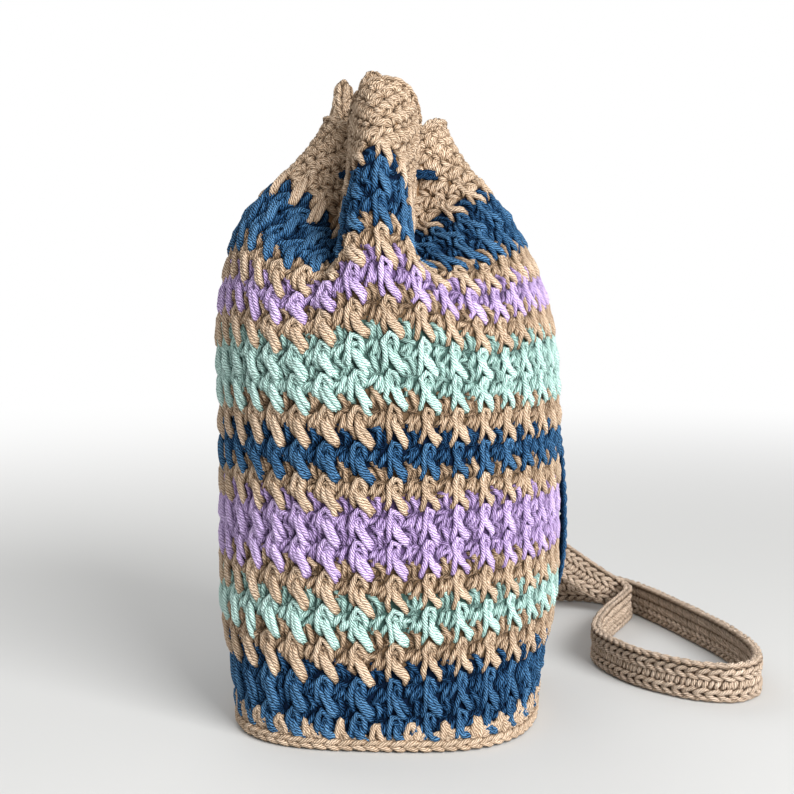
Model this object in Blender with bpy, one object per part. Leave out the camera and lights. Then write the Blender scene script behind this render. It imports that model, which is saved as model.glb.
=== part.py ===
"""A crocheted drawstring bag standing on its base: a striped barrel worked from a square base up to a
collar, which a blue chain cord gathers into pleats, and a flat strap sewn to the back.

Metres, +Z up. The origin is the middle of the base, on the surface that the bag stands on, and the
front of the bag faces -Y."""

import math

import bmesh
import bpy
import numpy as np

# The body: rows of textured stitches from the base to the collar, and the collar above them.
BODY_RADIUS = 0.0745
BASE_HALF_WIDTH = 0.064
BASE_HALF_DEPTH = 0.0755
BASE_TURN = math.radians(-4)
RIM_PROUD = 0.0018
RIM_HEIGHT = 0.0045
BODY_ROWS = 17
ROW_HEIGHT = 0.0139
COLLAR_HEIGHT = 0.042
FABRIC_THICKNESS = 0.0035

# The gathered neck: the radius on which the valleys between the pleats lie, outside.
NECK_RADIUS = 0.0215

# The drawstring, a round chain cord, and the clearance that it has in the fabric.
CORD_DIAMETER = 0.0046
CORD_CLEARANCE = 0.0006
CORD_ROW = 0.55
KNOT_DIAMETER = 0.0105
KNOT_LENGTH = 0.012

# The strap, a flat band.
STRAP_WIDTH = 0.0175
STRAP_THICKNESS = 0.005

# How far the strap's corners are taken off, as a share of half its thickness.
STRAP_SOFTNESS = 0.6

# Neighbours that touch keep this gap, and a cord lies this far off the wall that it hangs against.
SEAT_GAP = 0.0003
LIE_GAP = 0.0012

# How cords and bands are drawn: a point every so many diameters or widths, and the fineness of the
# curve that the points are read from. Then the distance within which a mesh's points are joined, and
# the step in radians and rows over which the wall's direction is taken.
CORD_STEP = 2.0
RING_STEP = 1.3
STRAP_STEP = 0.6
CURVE_STEPS = 40
WELD = 0.000001
TANGENT_STEP = 0.001

# The pleats around the neck, from the front pleat anticlockwise seen from above. Each has its width,
# in parts of which 32 go round the neck, and how high its crest stands above or below the others of
# its kind.
PARTS_ROUND = 32
PLEATS = (
    ("front", 8.0, 0.0),
    ("side", 6.2, 0.0),
    ("side", 4.6, -0.0020),
    ("back", 4.2, 0.0030),
    ("narrow", 3.2, 0.0),
    ("side", 5.8, 0.0015),
)
FRONT_ANGLE = math.radians(270)

# Outline of the lower body: rows up from the base, how far it has come from the size of the base to
# that of the body, and squareness, the exponent of a superellipse, which is 2 for a circle.
BARREL = (
    (0.0, 0.0, 3.1),
    (0.6, 0.15, 3.05),
    (1.9, 0.43, 2.8),
    (3.2, 0.84, 2.5),
    (4.4, 0.97, 2.2),
    (6.5, 1.0, 2.0),
    (10.0, 1.0, 2.0),
)

# Outlines of the gathered top. Each line is a station: rows up (a collar's stations follow the last
# row, in shares of the collar), and for each kind of line over the pleats the share of the shoulder
# between neck and body that its radius keeps, and its height in row heights.
STATIONS = (10.0, 11.0, 12.5, 14.0, 15.5, 17.0)
COLLAR_STATIONS = (0.24, 0.48, 0.72, 1.0)
VALLEY = (
    (1.0, 9.92), (0.990, 10.90), (0.927, 12.34), (0.761, 13.52), (0.431, 14.24), (0.138, 14.80),
    (0.028, 15.48), (0.0, 16.24), (0.0, 17.04), (0.009, 17.88),
)
FRONT = (
    (1.0, 9.92), (0.995, 10.93), (0.958, 12.41), (0.899, 13.92), (0.798, 15.40), (0.661, 16.87),
    (0.578, 17.50), (0.486, 18.12), (0.385, 18.74), (0.275, 19.30),
)
SIDE = (
    (1.0, 9.92), (0.995, 10.83), (0.958, 12.30), (0.865, 13.67), (0.728, 15.00), (0.497, 16.15),
    (0.358, 16.64), (0.244, 17.15), (0.148, 17.68), (0.075, 18.22),
)
BACK = (
    (1.0, 9.92), (0.995, 10.83), (0.958, 12.30), (0.866, 13.70), (0.734, 15.07), (0.569, 16.40),
    (0.486, 17.16), (0.413, 17.98), (0.339, 18.85), (0.275, 19.80),
)
NARROW = (
    (1.0, 9.92), (0.995, 10.83), (0.958, 12.30), (0.859, 13.67), (0.697, 15.00), (0.495, 16.30),
    (0.360, 17.08), (0.230, 17.90), (0.125, 18.75), (0.070, 19.55),
)
CREST = {"front": FRONT, "side": SIDE, "back": BACK, "narrow": NARROW}

# The section goes from round to folded between these rows. A fold's sides run straight out from
# its valleys and close in a superellipse of this exponent.
FOLD_ROWS = (10.0, 13.0, 14.5)
FOLD_SHARES = (0.0, 0.4, 1.0)
FOLD_POWER = 2.4

# The front pleat keeps its width down past the collar, and the valleys beside it then spread: rows
# up, and how far apart the two valleys are over what they are at the neck.
FRONT_SPREAD = ((10.0, 2.2), (12.0, 2.15), (13.0, 1.95), (13.6, 1.7), (14.3, 1.25), (15.2, 1.06), (17.0, 1.0))

# The upper body leans a little to -X: rows up, and the shift of the section's middle.
LEAN = (
    (0.0, 0.0), (9.0, 0.0), (11.5, -0.0014), (14.0, -0.0036), (15.5, -0.0055), (17.0, -0.0050),
    (18.5, -0.0032), (20.0, -0.0020),
)


def smooth(x, xs, ys):
    """Values at x of the curve through (xs, ys): cubic pieces whose slope at each point is the
    slope between its two neighbours, held level where the values turn back."""
    x = np.clip(np.asarray(x, float), xs[0], xs[-1])
    xs, ys = np.asarray(xs, float), np.asarray(ys, float)
    step = np.diff(xs)
    rise = np.diff(ys) / step
    slope = np.concatenate([rise[:1], (ys[2:] - ys[:-2]) / (xs[2:] - xs[:-2]), rise[-1:]])
    slope[1:-1] *= rise[:-1] * rise[1:] > 0
    i = np.clip(np.searchsorted(xs, x, side="right") - 1, 0, len(step) - 1)
    t = (x - xs[i]) / step[i]
    return (
        ys[i] * (1 + 2 * t) * (1 - t) ** 2
        + ys[i + 1] * t * t * (3 - 2 * t)
        + step[i] * t * (1 - t) * (slope[i] * (1 - t) - slope[i + 1] * t)
    )


def collar_rows(share):
    """Row count of a place in the collar, given as a share of the collar's height."""
    return BODY_ROWS + share * COLLAR_HEIGHT / ROW_HEIGHT


def outline(line, rows):
    """Radius and height along a valley or crest line, for arrays of rows up the wall."""
    stations = list(STATIONS) + [collar_rows(share) for share in COLLAR_STATIONS]
    share, height = (smooth(rows, stations, list(column)) for column in zip(*line))
    return NECK_RADIUS + (BODY_RADIUS - NECK_RADIUS) * share, height * ROW_HEIGHT


def pleat_angles(rows):
    """Angles of the valley before each pleat, and of each pleat's crest, for arrays of rows. All
    stay the same up the wall but the two valleys beside the front pleat."""
    widths = np.array([width for _, width, _ in PLEATS]) * 2 * math.pi / PARTS_ROUND
    valleys = FRONT_ANGLE - widths[0] / 2 + np.concatenate([[0.0], np.cumsum(widths)])
    crests = valleys[:-1] + widths / 2
    valleys = [np.full_like(rows, valley) for valley in valleys]
    apart = smooth(rows, *zip(*FRONT_SPREAD)) * NECK_RADIUS * math.sin(widths[0] / 2)
    spread = np.arcsin(apart / outline(VALLEY, rows)[0])
    valleys[0], valleys[1] = FRONT_ANGLE - spread, FRONT_ANGLE + spread
    valleys[-1] = valleys[0] + 2 * math.pi
    return valleys, crests


def wall(angle, rows):
    """Points of the bag's outer surface, for arrays of angles around it and of rows up its wall.

    Below row 10 the section is a superellipse that goes from the square base to the round body.
    Above, each half pleat goes from a round section, whose radius rises from valley to crest by a
    squared sine, to a fold: a superellipse that stands on the valley and reaches out to the crest."""
    angle, rows = np.broadcast_arrays(np.asarray(angle, float), np.asarray(rows, float))
    low_rows, widths, powers = (list(column) for column in zip(*BARREL))
    grown = smooth(rows, low_rows, widths)
    wide = BASE_HALF_WIDTH + (BODY_RADIUS - BASE_HALF_WIDTH) * grown
    deep = BASE_HALF_DEPTH + (BODY_RADIUS - BASE_HALF_DEPTH) * grown
    power = smooth(rows, low_rows, powers)
    turned = angle - BASE_TURN
    radius = (np.abs(np.cos(turned) / wide) ** power + np.abs(np.sin(turned) / deep) ** power) ** (-1 / power)
    height = rows * ROW_HEIGHT * VALLEY[0][1] / STATIONS[0]
    points = np.stack([radius * np.cos(angle), radius * np.sin(angle), height], axis=-1)

    valleys, crests = pleat_angles(rows)
    inner, low = outline(VALLEY, rows)
    fold = smooth(rows, FOLD_ROWS, FOLD_SHARES)
    lift = smooth(rows, (STATIONS[0], STATIONS[3], collar_rows(1)), (0.0, 0.15, 1.0))
    round_turn = valleys[0] + np.mod(angle - valleys[0], 2 * math.pi)
    for number, (kind, _, taller) in enumerate(PLEATS):
        outer, high = outline(CREST[kind], rows)
        high = high + taller * lift
        crest = crests[number]
        for valley, side in ((valleys[number], -1), (valleys[number + 1], 1)):
            spread = np.abs(crest - valley)
            climb = 1 - np.abs(round_turn - crest) / spread
            here = (rows >= STATIONS[0]) & (climb >= 0) & (side * (round_turn - crest) >= 0)
            climb = np.clip(climb, 0, 1) * math.pi / 2
            rise, fall = np.sin(climb), np.cos(climb)
            reach = rise ** (2 / FOLD_POWER)
            ahead = inner * np.cos(spread) + (outer - inner * np.cos(spread)) * reach
            aside = side * inner * np.sin(spread) * fall ** (2 / FOLD_POWER)
            radius = inner + (outer - inner) * rise**2
            up = rise**2 + fold * (reach - rise**2)
            x = radius * np.cos(angle) * (1 - fold)
            x += fold * (ahead * math.cos(crest) - aside * math.sin(crest))
            y = radius * np.sin(angle) * (1 - fold)
            y += fold * (ahead * math.sin(crest) + aside * math.cos(crest))
            points[here] = np.stack([x, y, low + (high - low) * up], axis=-1)[here]
    points[..., 0] += smooth(rows, *zip(*LEAN))
    return points


def wall_point(degrees, rows, out=0.0):
    """A point that stands a distance out of the wall, along the wall's own direction there."""
    angle, step = math.radians(degrees), TANGENT_STEP
    turned = [angle, angle - step, angle + step, angle, angle]
    at = wall(turned, [rows, rows, rows, rows - step, rows + step])
    normal = np.cross(at[2] - at[1], at[4] - at[3])
    return at[0] + out * normal / np.linalg.norm(normal)


def material(name, colour, roughness):
    made = bpy.data.materials.new(name)
    made.use_nodes = True
    shader = made.node_tree.nodes["Principled BSDF"]
    shader.inputs["Base Color"].default_value = (*colour, 1)
    shader.inputs["Roughness"].default_value = roughness
    shader.inputs["Metallic"].default_value = 0
    return made


def mesh_object(name, points, faces, finish):
    mesh = bpy.data.meshes.new(name)
    mesh.from_pydata([tuple(map(float, point)) for point in points], [], faces)
    mesh.validate()
    mesh.materials.append(finish)
    mesh.shade_smooth()
    made = bpy.data.objects.new(name, mesh)
    bpy.context.scene.collection.objects.link(made)
    return made


def along(route, spacing, first=0, last=-1, trims=(0.0, 0.0)):
    """Points a given spacing apart along a smooth curve through the route's points (Catmull-Rom),
    from the first of the named route points to the last, with each end trimmed by a length."""
    route = np.asarray(route, float)
    ends = np.concatenate([[2 * route[0] - route[1]], route, [2 * route[-1] - route[-2]]])
    fine = []
    for before, start, end, after in zip(ends, ends[1:], ends[2:], ends[3:]):
        t = np.linspace(0, 1, CURVE_STEPS, endpoint=False)[:, None]
        bend = 2 * before - 5 * start + 4 * end - after
        twist = 3 * start - before - 3 * end + after
        fine.append(start + 0.5 * t * (end - before + t * (bend + t * twist)))
    fine = np.concatenate(fine + [route[-1:]])
    steps = np.linalg.norm(np.diff(fine[:, :3], axis=0), axis=1)
    travelled = np.concatenate([[0.0], np.cumsum(steps)])
    marks = travelled[np.arange(len(route)) * CURVE_STEPS]
    start, end = marks[first] + trims[0], marks[last] - trims[1]
    at = np.linspace(start, end, max(2, round((end - start) / spacing) + 1))
    return np.stack([np.interp(at, travelled, fine[:, k]) for k in range(fine.shape[1])], axis=1)


def cord_object(name, points, radius, finish):
    """A round cord through the points: a curve with a bevel and closed ends."""
    curve = bpy.data.curves.new(name, "CURVE")
    curve.dimensions = "3D"
    curve.bevel_depth = radius
    curve.bevel_resolution = 2
    curve.use_fill_caps = True
    curve.materials.append(finish)
    spline = curve.splines.new("POLY")
    spline.points.add(len(points) - 1)
    spline.points.foreach_set("co", np.column_stack([points, np.ones(len(points))]).ravel())
    made = bpy.data.objects.new(name, curve)
    bpy.context.scene.collection.objects.link(made)
    return made


def band_object(name, points, lies_over, level, finish):
    """A flat band along the points: a rounded section whose width stands upright, or lies along the
    level direction where lies_over is 1."""
    ahead = np.gradient(points, axis=0)
    ahead /= np.linalg.norm(ahead, axis=1)[:, None]
    upright = np.array([0.0, 0.0, 1.0])
    across = (1 - lies_over)[:, None] * upright + lies_over[:, None] * level
    across -= np.sum(across * ahead, axis=1)[:, None] * ahead
    across /= np.linalg.norm(across, axis=1)[:, None]
    face = np.cross(ahead, across)
    wide, thick = STRAP_WIDTH / 2, STRAP_THICKNESS / 2
    soft = thick * STRAP_SOFTNESS
    corner = [(wide, thick - soft), (wide - soft, thick)]
    section = corner + [(-w, t) for w, t in corner[::-1]]
    section += [(-w, -t) for w, t in section]
    count = len(section)
    rings = [w * across + t * face + points for w, t in section]
    grid = np.stack(rings, axis=1).reshape(-1, 3)
    faces = [tuple(range(count))[::-1], tuple(len(grid) - count + i for i in range(count))]
    for ring in range(len(points) - 1):
        low, high = ring * count, (ring + 1) * count
        for i in range(count):
            after = (i + 1) % count
            faces.append((low + i, low + after, high + after, high + i))
    return mesh_object(name, grid, faces, finish)


# The bag's outer surface is a grid: points across each pleat, and rings up the wall and the collar.
POINTS_A_PLEAT = (14, 12, 10, 10, 8, 12)
RING_ROWS = (0.6, 1.5, 2.6, 3.8, 5.2, 7.4, 9.6, 11.0, 12.2, 13.2, 14.0, 14.75, 15.5, 16.25, 17.0)
RING_COLLAR = (0.12, 0.25, 0.4, 0.55, 0.7, 0.85, 1.0)
BASE_RINGS = (0.25, 0.6, 0.9)


def column_angles(rows):
    """Angles of the grid's points at a height: as many on each half pleat at every height."""
    valleys, crests = pleat_angles(np.asarray(rows, float))
    angles = []
    for count, crest, start, end in zip(POINTS_A_PLEAT, crests, valleys, valleys[1:]):
        angles.append(np.linspace(start, crest, count // 2, endpoint=False))
        angles.append(np.linspace(crest, end, count // 2, endpoint=False))
    return np.concatenate(angles)


def bag_body(finish):
    """The outer surface, from the middle of the base out to its rim and up to the mouth, given the
    fabric's thickness inwards. The rim of the base stands a little proud of the wall."""
    foot = wall(column_angles(0.0), 0.0)[:, :2]
    outward = foot / np.linalg.norm(foot, axis=1)[:, None]
    rim = foot + outward * RIM_PROUD
    rings = [(foot * share, 0.0) for share in BASE_RINGS]
    rings += [(rim - outward * RIM_HEIGHT / 4, 0.0), (rim, RIM_HEIGHT / 3), (rim, RIM_HEIGHT)]
    rings = [np.column_stack([ring, np.full(len(ring), height)]) for ring, height in rings]
    levels = list(RING_ROWS) + [collar_rows(share) for share in RING_COLLAR]
    rings += [wall(column_angles(rows), rows) for rows in levels]
    points = np.concatenate([[[0.0, 0.0, 0.0]]] + rings)

    around, faces = len(foot), []
    for column in range(around):
        after = (column + 1) % around
        faces.append((0, 1 + after, 1 + column))
        for ring in range(len(rings) - 1):
            low, high = 1 + ring * around, 1 + (ring + 1) * around
            faces.append((low + column, low + after, high + after, high + column))
    body = mesh_object("bag_body", points, faces, finish)
    shell = body.modifiers.new("fabric", "SOLIDIFY")
    shell.thickness = FABRIC_THICKNESS
    shell.offset = -1
    shell.use_rim = True
    return body


def valley_degrees(number):
    """The angle of the valley after the pleat of that number."""
    parts = sum(width for _, width, _ in PLEATS[: number + 1]) - PLEATS[0][1] / 2
    return math.degrees(FRONT_ANGLE) + parts * 360 / PARTS_ROUND


# The drawstring runs round the neck, outside in the valleys and inside each pleat. Its ends come out
# on the two sides of the wide back pleat, down the valleys there, and hang against the wall. The
# bend at each end of the ring is given by degrees before the valley, and how far out and down. A
# valley run has rows up and how far out of the valley's bottom, a tail has degrees from its valley,
# rows up, and how much further off the wall it is than where it hangs against it.
RING_OFF = 0.0012
RING_RADIUS = NECK_RADIUS + CORD_DIAMETER / 2 + RING_OFF
RING_HEIGHT = float(wall(math.radians(valley_degrees(0)), collar_rows(CORD_ROW))[2])
RING_POINTS = 13
RIGHT_VALLEY = valley_degrees(1) - 360
BACK_VALLEY = valley_degrees(2) - 360
CORD_OFF = CORD_DIAMETER / 2 + LIE_GAP
EXIT_BEND = ((40, 0.0, 0.0), (24, 0.0002, -0.0006), (10, 0.0012, -0.0034))
VALLEY_RUN = ((18.05, 0.0066), (17.4, 0.0075), (16.6, 0.0090), (15.6, 0.0095), (14.7, 0.0090))
TAIL_EXIT = 3
RIGHT_TAIL = (
    (-1.5, 13.5, 0.0010), (-3.0, 12.3, 0.0002), (-3.5, 11.0, 0.0), (-5.0, 9.8, 0.0), (-8.5, 8.7, 0.0),
    (-13.0, 7.6, 0.0), (-16.4, 6.4, 0.0), (-16.6, 5.3, 0.0), (-14.0, 4.3, 0.0), (-8.5, 3.5, 0.0),
    (-1.0, 2.9, 0.0), (7.0, 2.5, 0.0004), (14.0, 2.3, 0.0016),
)
BACK_TAIL = (
    (3.5, 13.5, 0.0010), (9.0, 12.3, 0.0002), (16.0, 10.8, 0.0), (21.0, 9.2, 0.0), (24.0, 7.6, 0.0),
    (25.0, 6.0, 0.0003), (24.5, 4.6, 0.0014),
)
HOLE_POINTS = 5

# Where the threaded part meets a tail, both end in a straight piece so many diameters long.
JOINT_STEP = 0.5


def valley_point(degrees, rows, out):
    angle = math.radians(degrees)
    return wall(angle, rows) + out * np.array([math.cos(angle), math.sin(angle), 0.0])


def ring_point(degrees, out=0.0, lift=0.0):
    angle = math.radians(degrees)
    radius = RING_RADIUS + out
    return (radius * math.cos(angle), radius * math.sin(angle), RING_HEIGHT + lift)


def drawstring_route():
    """The whole drawstring's route points, and the places in the list where its tails leave."""
    tails, bends = [], []
    for valley, side, places in ((RIGHT_VALLEY, -1, RIGHT_TAIL), (BACK_VALLEY, 1, BACK_TAIL)):
        tails.append([valley_point(valley, rows, out) for rows, out in VALLEY_RUN])
        tails[-1] += [wall_point(valley + turn, rows, CORD_OFF + out) for turn, rows, out in places]
        bends.append([ring_point(valley + side * turn, out, lift) for turn, out, lift in EXIT_BEND])
    start, end = RIGHT_VALLEY - 2 * EXIT_BEND[0][0], BACK_VALLEY - 360 + 2 * EXIT_BEND[0][0]
    middle = [ring_point(degrees) for degrees in np.linspace(start, end, RING_POINTS)]
    route = tails[0][::-1] + bends[0][::-1] + middle + bends[1] + tails[1]
    right_exit = len(tails[0]) - 1 - TAIL_EXIT
    return route, right_exit, len(route) - len(tails[1]) + TAIL_EXIT


def joint_ends(route, place):
    """The two points, a seat gap apart along the route's own direction, at which the parts of the
    drawstring before and after a route point end."""
    before, joint, after = np.asarray(route[place - 1 : place + 2], float)
    ahead = (after - before) / np.linalg.norm(after - before)
    return np.stack([joint - ahead * SEAT_GAP / 2, joint + ahead * SEAT_GAP / 2])


# An overhand knot is drawn as a plain egg.
KNOT_SIDES = 10
KNOT_RINGS = 7


def knot(name, tip, ahead, finish):
    """An egg whose top meets the end of a tail, and which goes on the way that the tail goes."""
    ahead = ahead / np.linalg.norm(ahead)
    aside = np.cross(ahead, (0.0, 0.0, 1.0) if abs(ahead[2]) < 0.9 else (1.0, 0.0, 0.0))
    aside /= np.linalg.norm(aside)
    third = np.cross(ahead, aside)
    middle = tip + ahead * KNOT_LENGTH / 2
    points, faces = [], []
    for ring in range(1, KNOT_RINGS):
        slope = math.pi * ring / KNOT_RINGS
        for turn in range(KNOT_SIDES):
            angle = 2 * math.pi * turn / KNOT_SIDES
            around = math.cos(angle) * aside + math.sin(angle) * third
            wide = KNOT_DIAMETER / 2 * math.sin(slope) * around
            points.append(middle + wide - ahead * KNOT_LENGTH / 2 * math.cos(slope))
    top, foot = len(points), len(points) + 1
    points += [tip, tip + ahead * KNOT_LENGTH]
    last = (KNOT_RINGS - 2) * KNOT_SIDES
    for turn in range(KNOT_SIDES):
        after = (turn + 1) % KNOT_SIDES
        faces += [(top, after, turn), (foot, last + turn, last + after)]
        for ring in range(KNOT_RINGS - 2):
            low = ring * KNOT_SIDES
            faces.append((low + turn, low + after, low + KNOT_SIDES + after, low + KNOT_SIDES + turn))
    return mesh_object(name, points, faces, finish)


def drawstring(finish, body):
    """The threaded part, the two tails and their knots, and the holes that they need in the body.
    The holes are cut by the drawstring itself, drawn thicker by its clearance."""
    route, right_exit, back_exit = drawstring_route()
    radius, spacing = CORD_DIAMETER / 2, CORD_DIAMETER * CORD_STEP
    half_gap = SEAT_GAP / 2
    trim = half_gap + CORD_DIAMETER * JOINT_STEP
    threaded = along(route, CORD_DIAMETER * RING_STEP, right_exit, back_exit, (trim, trim))
    right = along(route, spacing, 0, right_exit, (0.0, trim))
    back = along(route, spacing, back_exit, -1, (trim, 0.0))
    right_ends, back_ends = joint_ends(route, right_exit), joint_ends(route, back_exit)
    threaded = np.concatenate([right_ends[1:], threaded, back_ends[:1]])
    right = np.concatenate([right, right_ends[:1]])
    back = np.concatenate([back_ends[1:], back])
    cord_object("drawstring", threaded, radius, finish)
    cord_object("drawstring_tail_right", right, radius, finish)
    cord_object("drawstring_tail_back", back, radius, finish)
    for name, end, before in (("right", right[0], right[1]), ("back", back[-1], back[-2])):
        ahead = (end - before) / np.linalg.norm(end - before)
        knot("drawstring_knot_" + name, end + ahead * SEAT_GAP, ahead, finish)

    whole = np.concatenate([right[-HOLE_POINTS:], threaded, back[:HOLE_POINTS]])
    holes = cord_object("drawstring_holes", whole, radius + CORD_CLEARANCE, finish)
    bpy.context.view_layer.update()
    drawn = holes.evaluated_get(bpy.context.evaluated_depsgraph_get())
    cutter_mesh = bpy.data.meshes.new_from_object(drawn)
    bpy.data.objects.remove(holes)
    welded = bmesh.new()
    welded.from_mesh(cutter_mesh)
    bmesh.ops.remove_doubles(welded, verts=welded.verts, dist=WELD)
    welded.to_mesh(cutter_mesh)
    welded.free()
    cutter = bpy.data.objects.new("drawstring_cutter", cutter_mesh)
    bpy.context.scene.collection.objects.link(cutter)
    cutter.hide_render = True
    cutter.display_type = "WIRE"
    cut = body.modifiers.new("drawstring_holes", "BOOLEAN")
    cut.object = cutter
    cut.solver = "EXACT"


# The strap's band, from the end sewn below the collar to the end sewn to the base. The first places
# are on the wall, by degrees and rows; the free ones are measured from the bag's side and back, with
# their height and how far the band lies over: 0 on its edge, 1 with its width level along the wall.
STRAP_TOP_DEGREES = (RIGHT_VALLEY + BACK_VALLEY) / 2
SEWN_OFF = STRAP_THICKNESS / 2 + SEAT_GAP
STRAP_OFF = STRAP_THICKNESS / 2 + LIE_GAP
STRAP_TOP = ((14.2, 0), (13.3, 0), (12.2, 1), (11.0, 1), (9.6, 1))
STRAP_FREE = (
    (-0.0305, 0.0070, 0.102, 0.90), (-0.0225, 0.0190, 0.078, 0.65), (-0.0085, 0.0410, 0.053, 0.35),
    (0.0190, 0.0700, 0.0300, 0.10), (0.0400, 0.0765, 0.0150, 0.0), (0.0500, 0.0745, 0.0102, 0.0),
    (0.0525, 0.0640, 0.0, 0.0), (0.0460, 0.0460, 0.0, 0.0), (0.0350, 0.0200, 0.0, 0.0),
    (0.0270, -0.0050, 0.0, 0.0), (0.0245, -0.0225, 0.0, 0.0), (0.0285, -0.0400, 0.0, 0.0),
    (0.0375, -0.0590, 0.0, 0.0), (0.0495, -0.0730, 0.0, 0.0), (0.0630, -0.0830, 0.0, 0.0),
    (0.0770, -0.0850, 0.0, 0.0), (0.0875, -0.0760, 0.0, 0.0), (0.0920, -0.0570, 0.0, 0.0),
    (0.0910, -0.0350, 0.0, 0.0), (0.0865, -0.0110, 0.0, 0.0), (0.0800, 0.0120, 0.0, 0.0),
    (0.0710, 0.0410, 0.0, 0.0), (0.0605, 0.0700, 0.0, 0.0), (0.0500, 0.0885, 0.0, 0.0),
    (0.0380, 0.1000, 0.0, 0.0), (0.0230, 0.1030, 0.0, 0.0), (0.0050, 0.0960, 0.0, 0.0),
    (-0.0140, 0.0780, 0.0, 0.0), (-0.0330, 0.0480, 0.0, 0.0), (-0.0480, 0.0220, 0.0, 0.0),
    (-0.0565, 0.0100, 0.0, 0.0),
)
STRAP_FOOT_DEGREES = (83.0, 90.0, 98.0)

# The sewn foot stands off the furthest that the wall beside it reaches, taken at so many heights.
FOOT_ROWS = 9


def strap(finish):
    top = [
        (*wall_point(STRAP_TOP_DEGREES, rows, STRAP_OFF if free else SEWN_OFF), 1.0)
        for rows, free in STRAP_TOP
    ]
    on_edge = STRAP_WIDTH / 2 + SEAT_GAP
    free = [
        (BODY_RADIUS + side, BODY_RADIUS + back, max(height, on_edge), over)
        for side, back, height, over in STRAP_FREE
    ]
    foot = []
    for degrees in STRAP_FOOT_DEGREES:
        angle = math.radians(degrees)
        beside = wall(angle, np.linspace(0.0, 2 * on_edge / ROW_HEIGHT, FOOT_ROWS))
        reach = np.linalg.norm(beside[:, :2], axis=1)
        swell = max(RIM_PROUD, reach.max() - reach[0])
        x, y, _ = wall_point(degrees, 0.0, swell + SEWN_OFF)
        foot.append((x, y, on_edge, 0.0))
    line = along(top + free + foot, STRAP_WIDTH * STRAP_STEP)
    side = math.radians(STRAP_TOP_DEGREES - 90)
    level = np.array([math.cos(side), math.sin(side), 0.0])
    band_object("strap", line[:, :3], line[:, 3], level, finish)


def main():
    for old in list(bpy.data.objects):
        bpy.data.objects.remove(old)
    body = bag_body(material("tan_yarn", (0.56, 0.42, 0.28), 0.85))
    drawstring(material("blue_yarn", (0.05, 0.16, 0.33), 0.85), body)
    strap(material("strap_yarn", (0.42, 0.31, 0.22), 0.85))


main()
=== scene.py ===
import math

import bpy
import numpy as np
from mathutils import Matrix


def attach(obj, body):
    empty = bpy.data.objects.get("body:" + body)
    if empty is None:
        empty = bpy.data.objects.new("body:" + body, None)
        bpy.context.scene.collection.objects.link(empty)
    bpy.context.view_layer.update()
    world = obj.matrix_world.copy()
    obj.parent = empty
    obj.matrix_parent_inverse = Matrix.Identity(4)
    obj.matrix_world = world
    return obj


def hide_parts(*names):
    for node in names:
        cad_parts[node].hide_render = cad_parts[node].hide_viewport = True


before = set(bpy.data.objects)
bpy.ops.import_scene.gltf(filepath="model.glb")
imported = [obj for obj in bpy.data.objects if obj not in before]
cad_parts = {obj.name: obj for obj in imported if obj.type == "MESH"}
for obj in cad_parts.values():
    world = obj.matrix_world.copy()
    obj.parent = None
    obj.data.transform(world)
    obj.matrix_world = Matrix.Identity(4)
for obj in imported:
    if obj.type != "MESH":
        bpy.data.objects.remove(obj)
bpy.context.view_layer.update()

# The camera looks at the front of the bag from a little above its middle, tipped down by about six
# degrees, at the distance at which the bag is as large as in the photograph.
CAMERA_PLACE = (0.003, -0.652, 0.200)
CAMERA_TIP = math.radians(90 - 5.8)
CAMERA_LENS = 68.01


def in_scene(name, data):
    """A new object of a camera, mesh or lamp, linked to the scene."""
    made = bpy.data.objects.new(name, data)
    bpy.context.scene.collection.objects.link(made)
    return made


camera_data = bpy.data.cameras.new("camera")
camera_data.lens = CAMERA_LENS
camera_data.sensor_width = 36
camera_data.clip_start = 0.01
camera = in_scene("camera", camera_data)
camera.location = CAMERA_PLACE
camera.rotation_euler = (CAMERA_TIP, 0, 0)
bpy.context.scene.camera = camera

# The cloth: one crocheted fabric, square at the base, round in the body and gathered into six pleats
# at the neck. This section is the shape that all its stitches are worked on, in metres.
BODY_RADIUS = 0.0745
BASE_HALF_WIDTH = 0.064
BASE_HALF_DEPTH = 0.0755
BASE_TURN = math.radians(-4)
RIM_PROUD = 0.0018
BODY_ROWS = 17
ROW_HEIGHT = 0.0139
COLLAR_HEIGHT = 0.042
FABRIC_THICKNESS = 0.0035
NECK_RADIUS = 0.0215
PLEAT_UNITS = 32

# Each pleat's crest line, its width in pleat units and how much higher it stands than its line.
PLEATS = (
    ("front", 8.0, 0.0),
    ("side", 6.2, 0.0),
    ("side", 4.6, -0.0020),
    ("back", 4.2, 0.0030),
    ("narrow", 3.2, 0.0),
    ("side", 5.8, 0.0015),
)
FRONT_ANGLE = math.radians(270)

# The body from the base up: the row, the share of the way from the base's half width to the body's
# radius, and the power of the superellipse.
BARREL = (
    (0.0, 0.0, 3.1),
    (0.6, 0.15, 3.05),
    (1.9, 0.43, 2.8),
    (3.2, 0.84, 2.5),
    (4.4, 0.97, 2.2),
    (6.5, 1.0, 2.0),
    (10.0, 1.0, 2.0),
)

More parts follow.
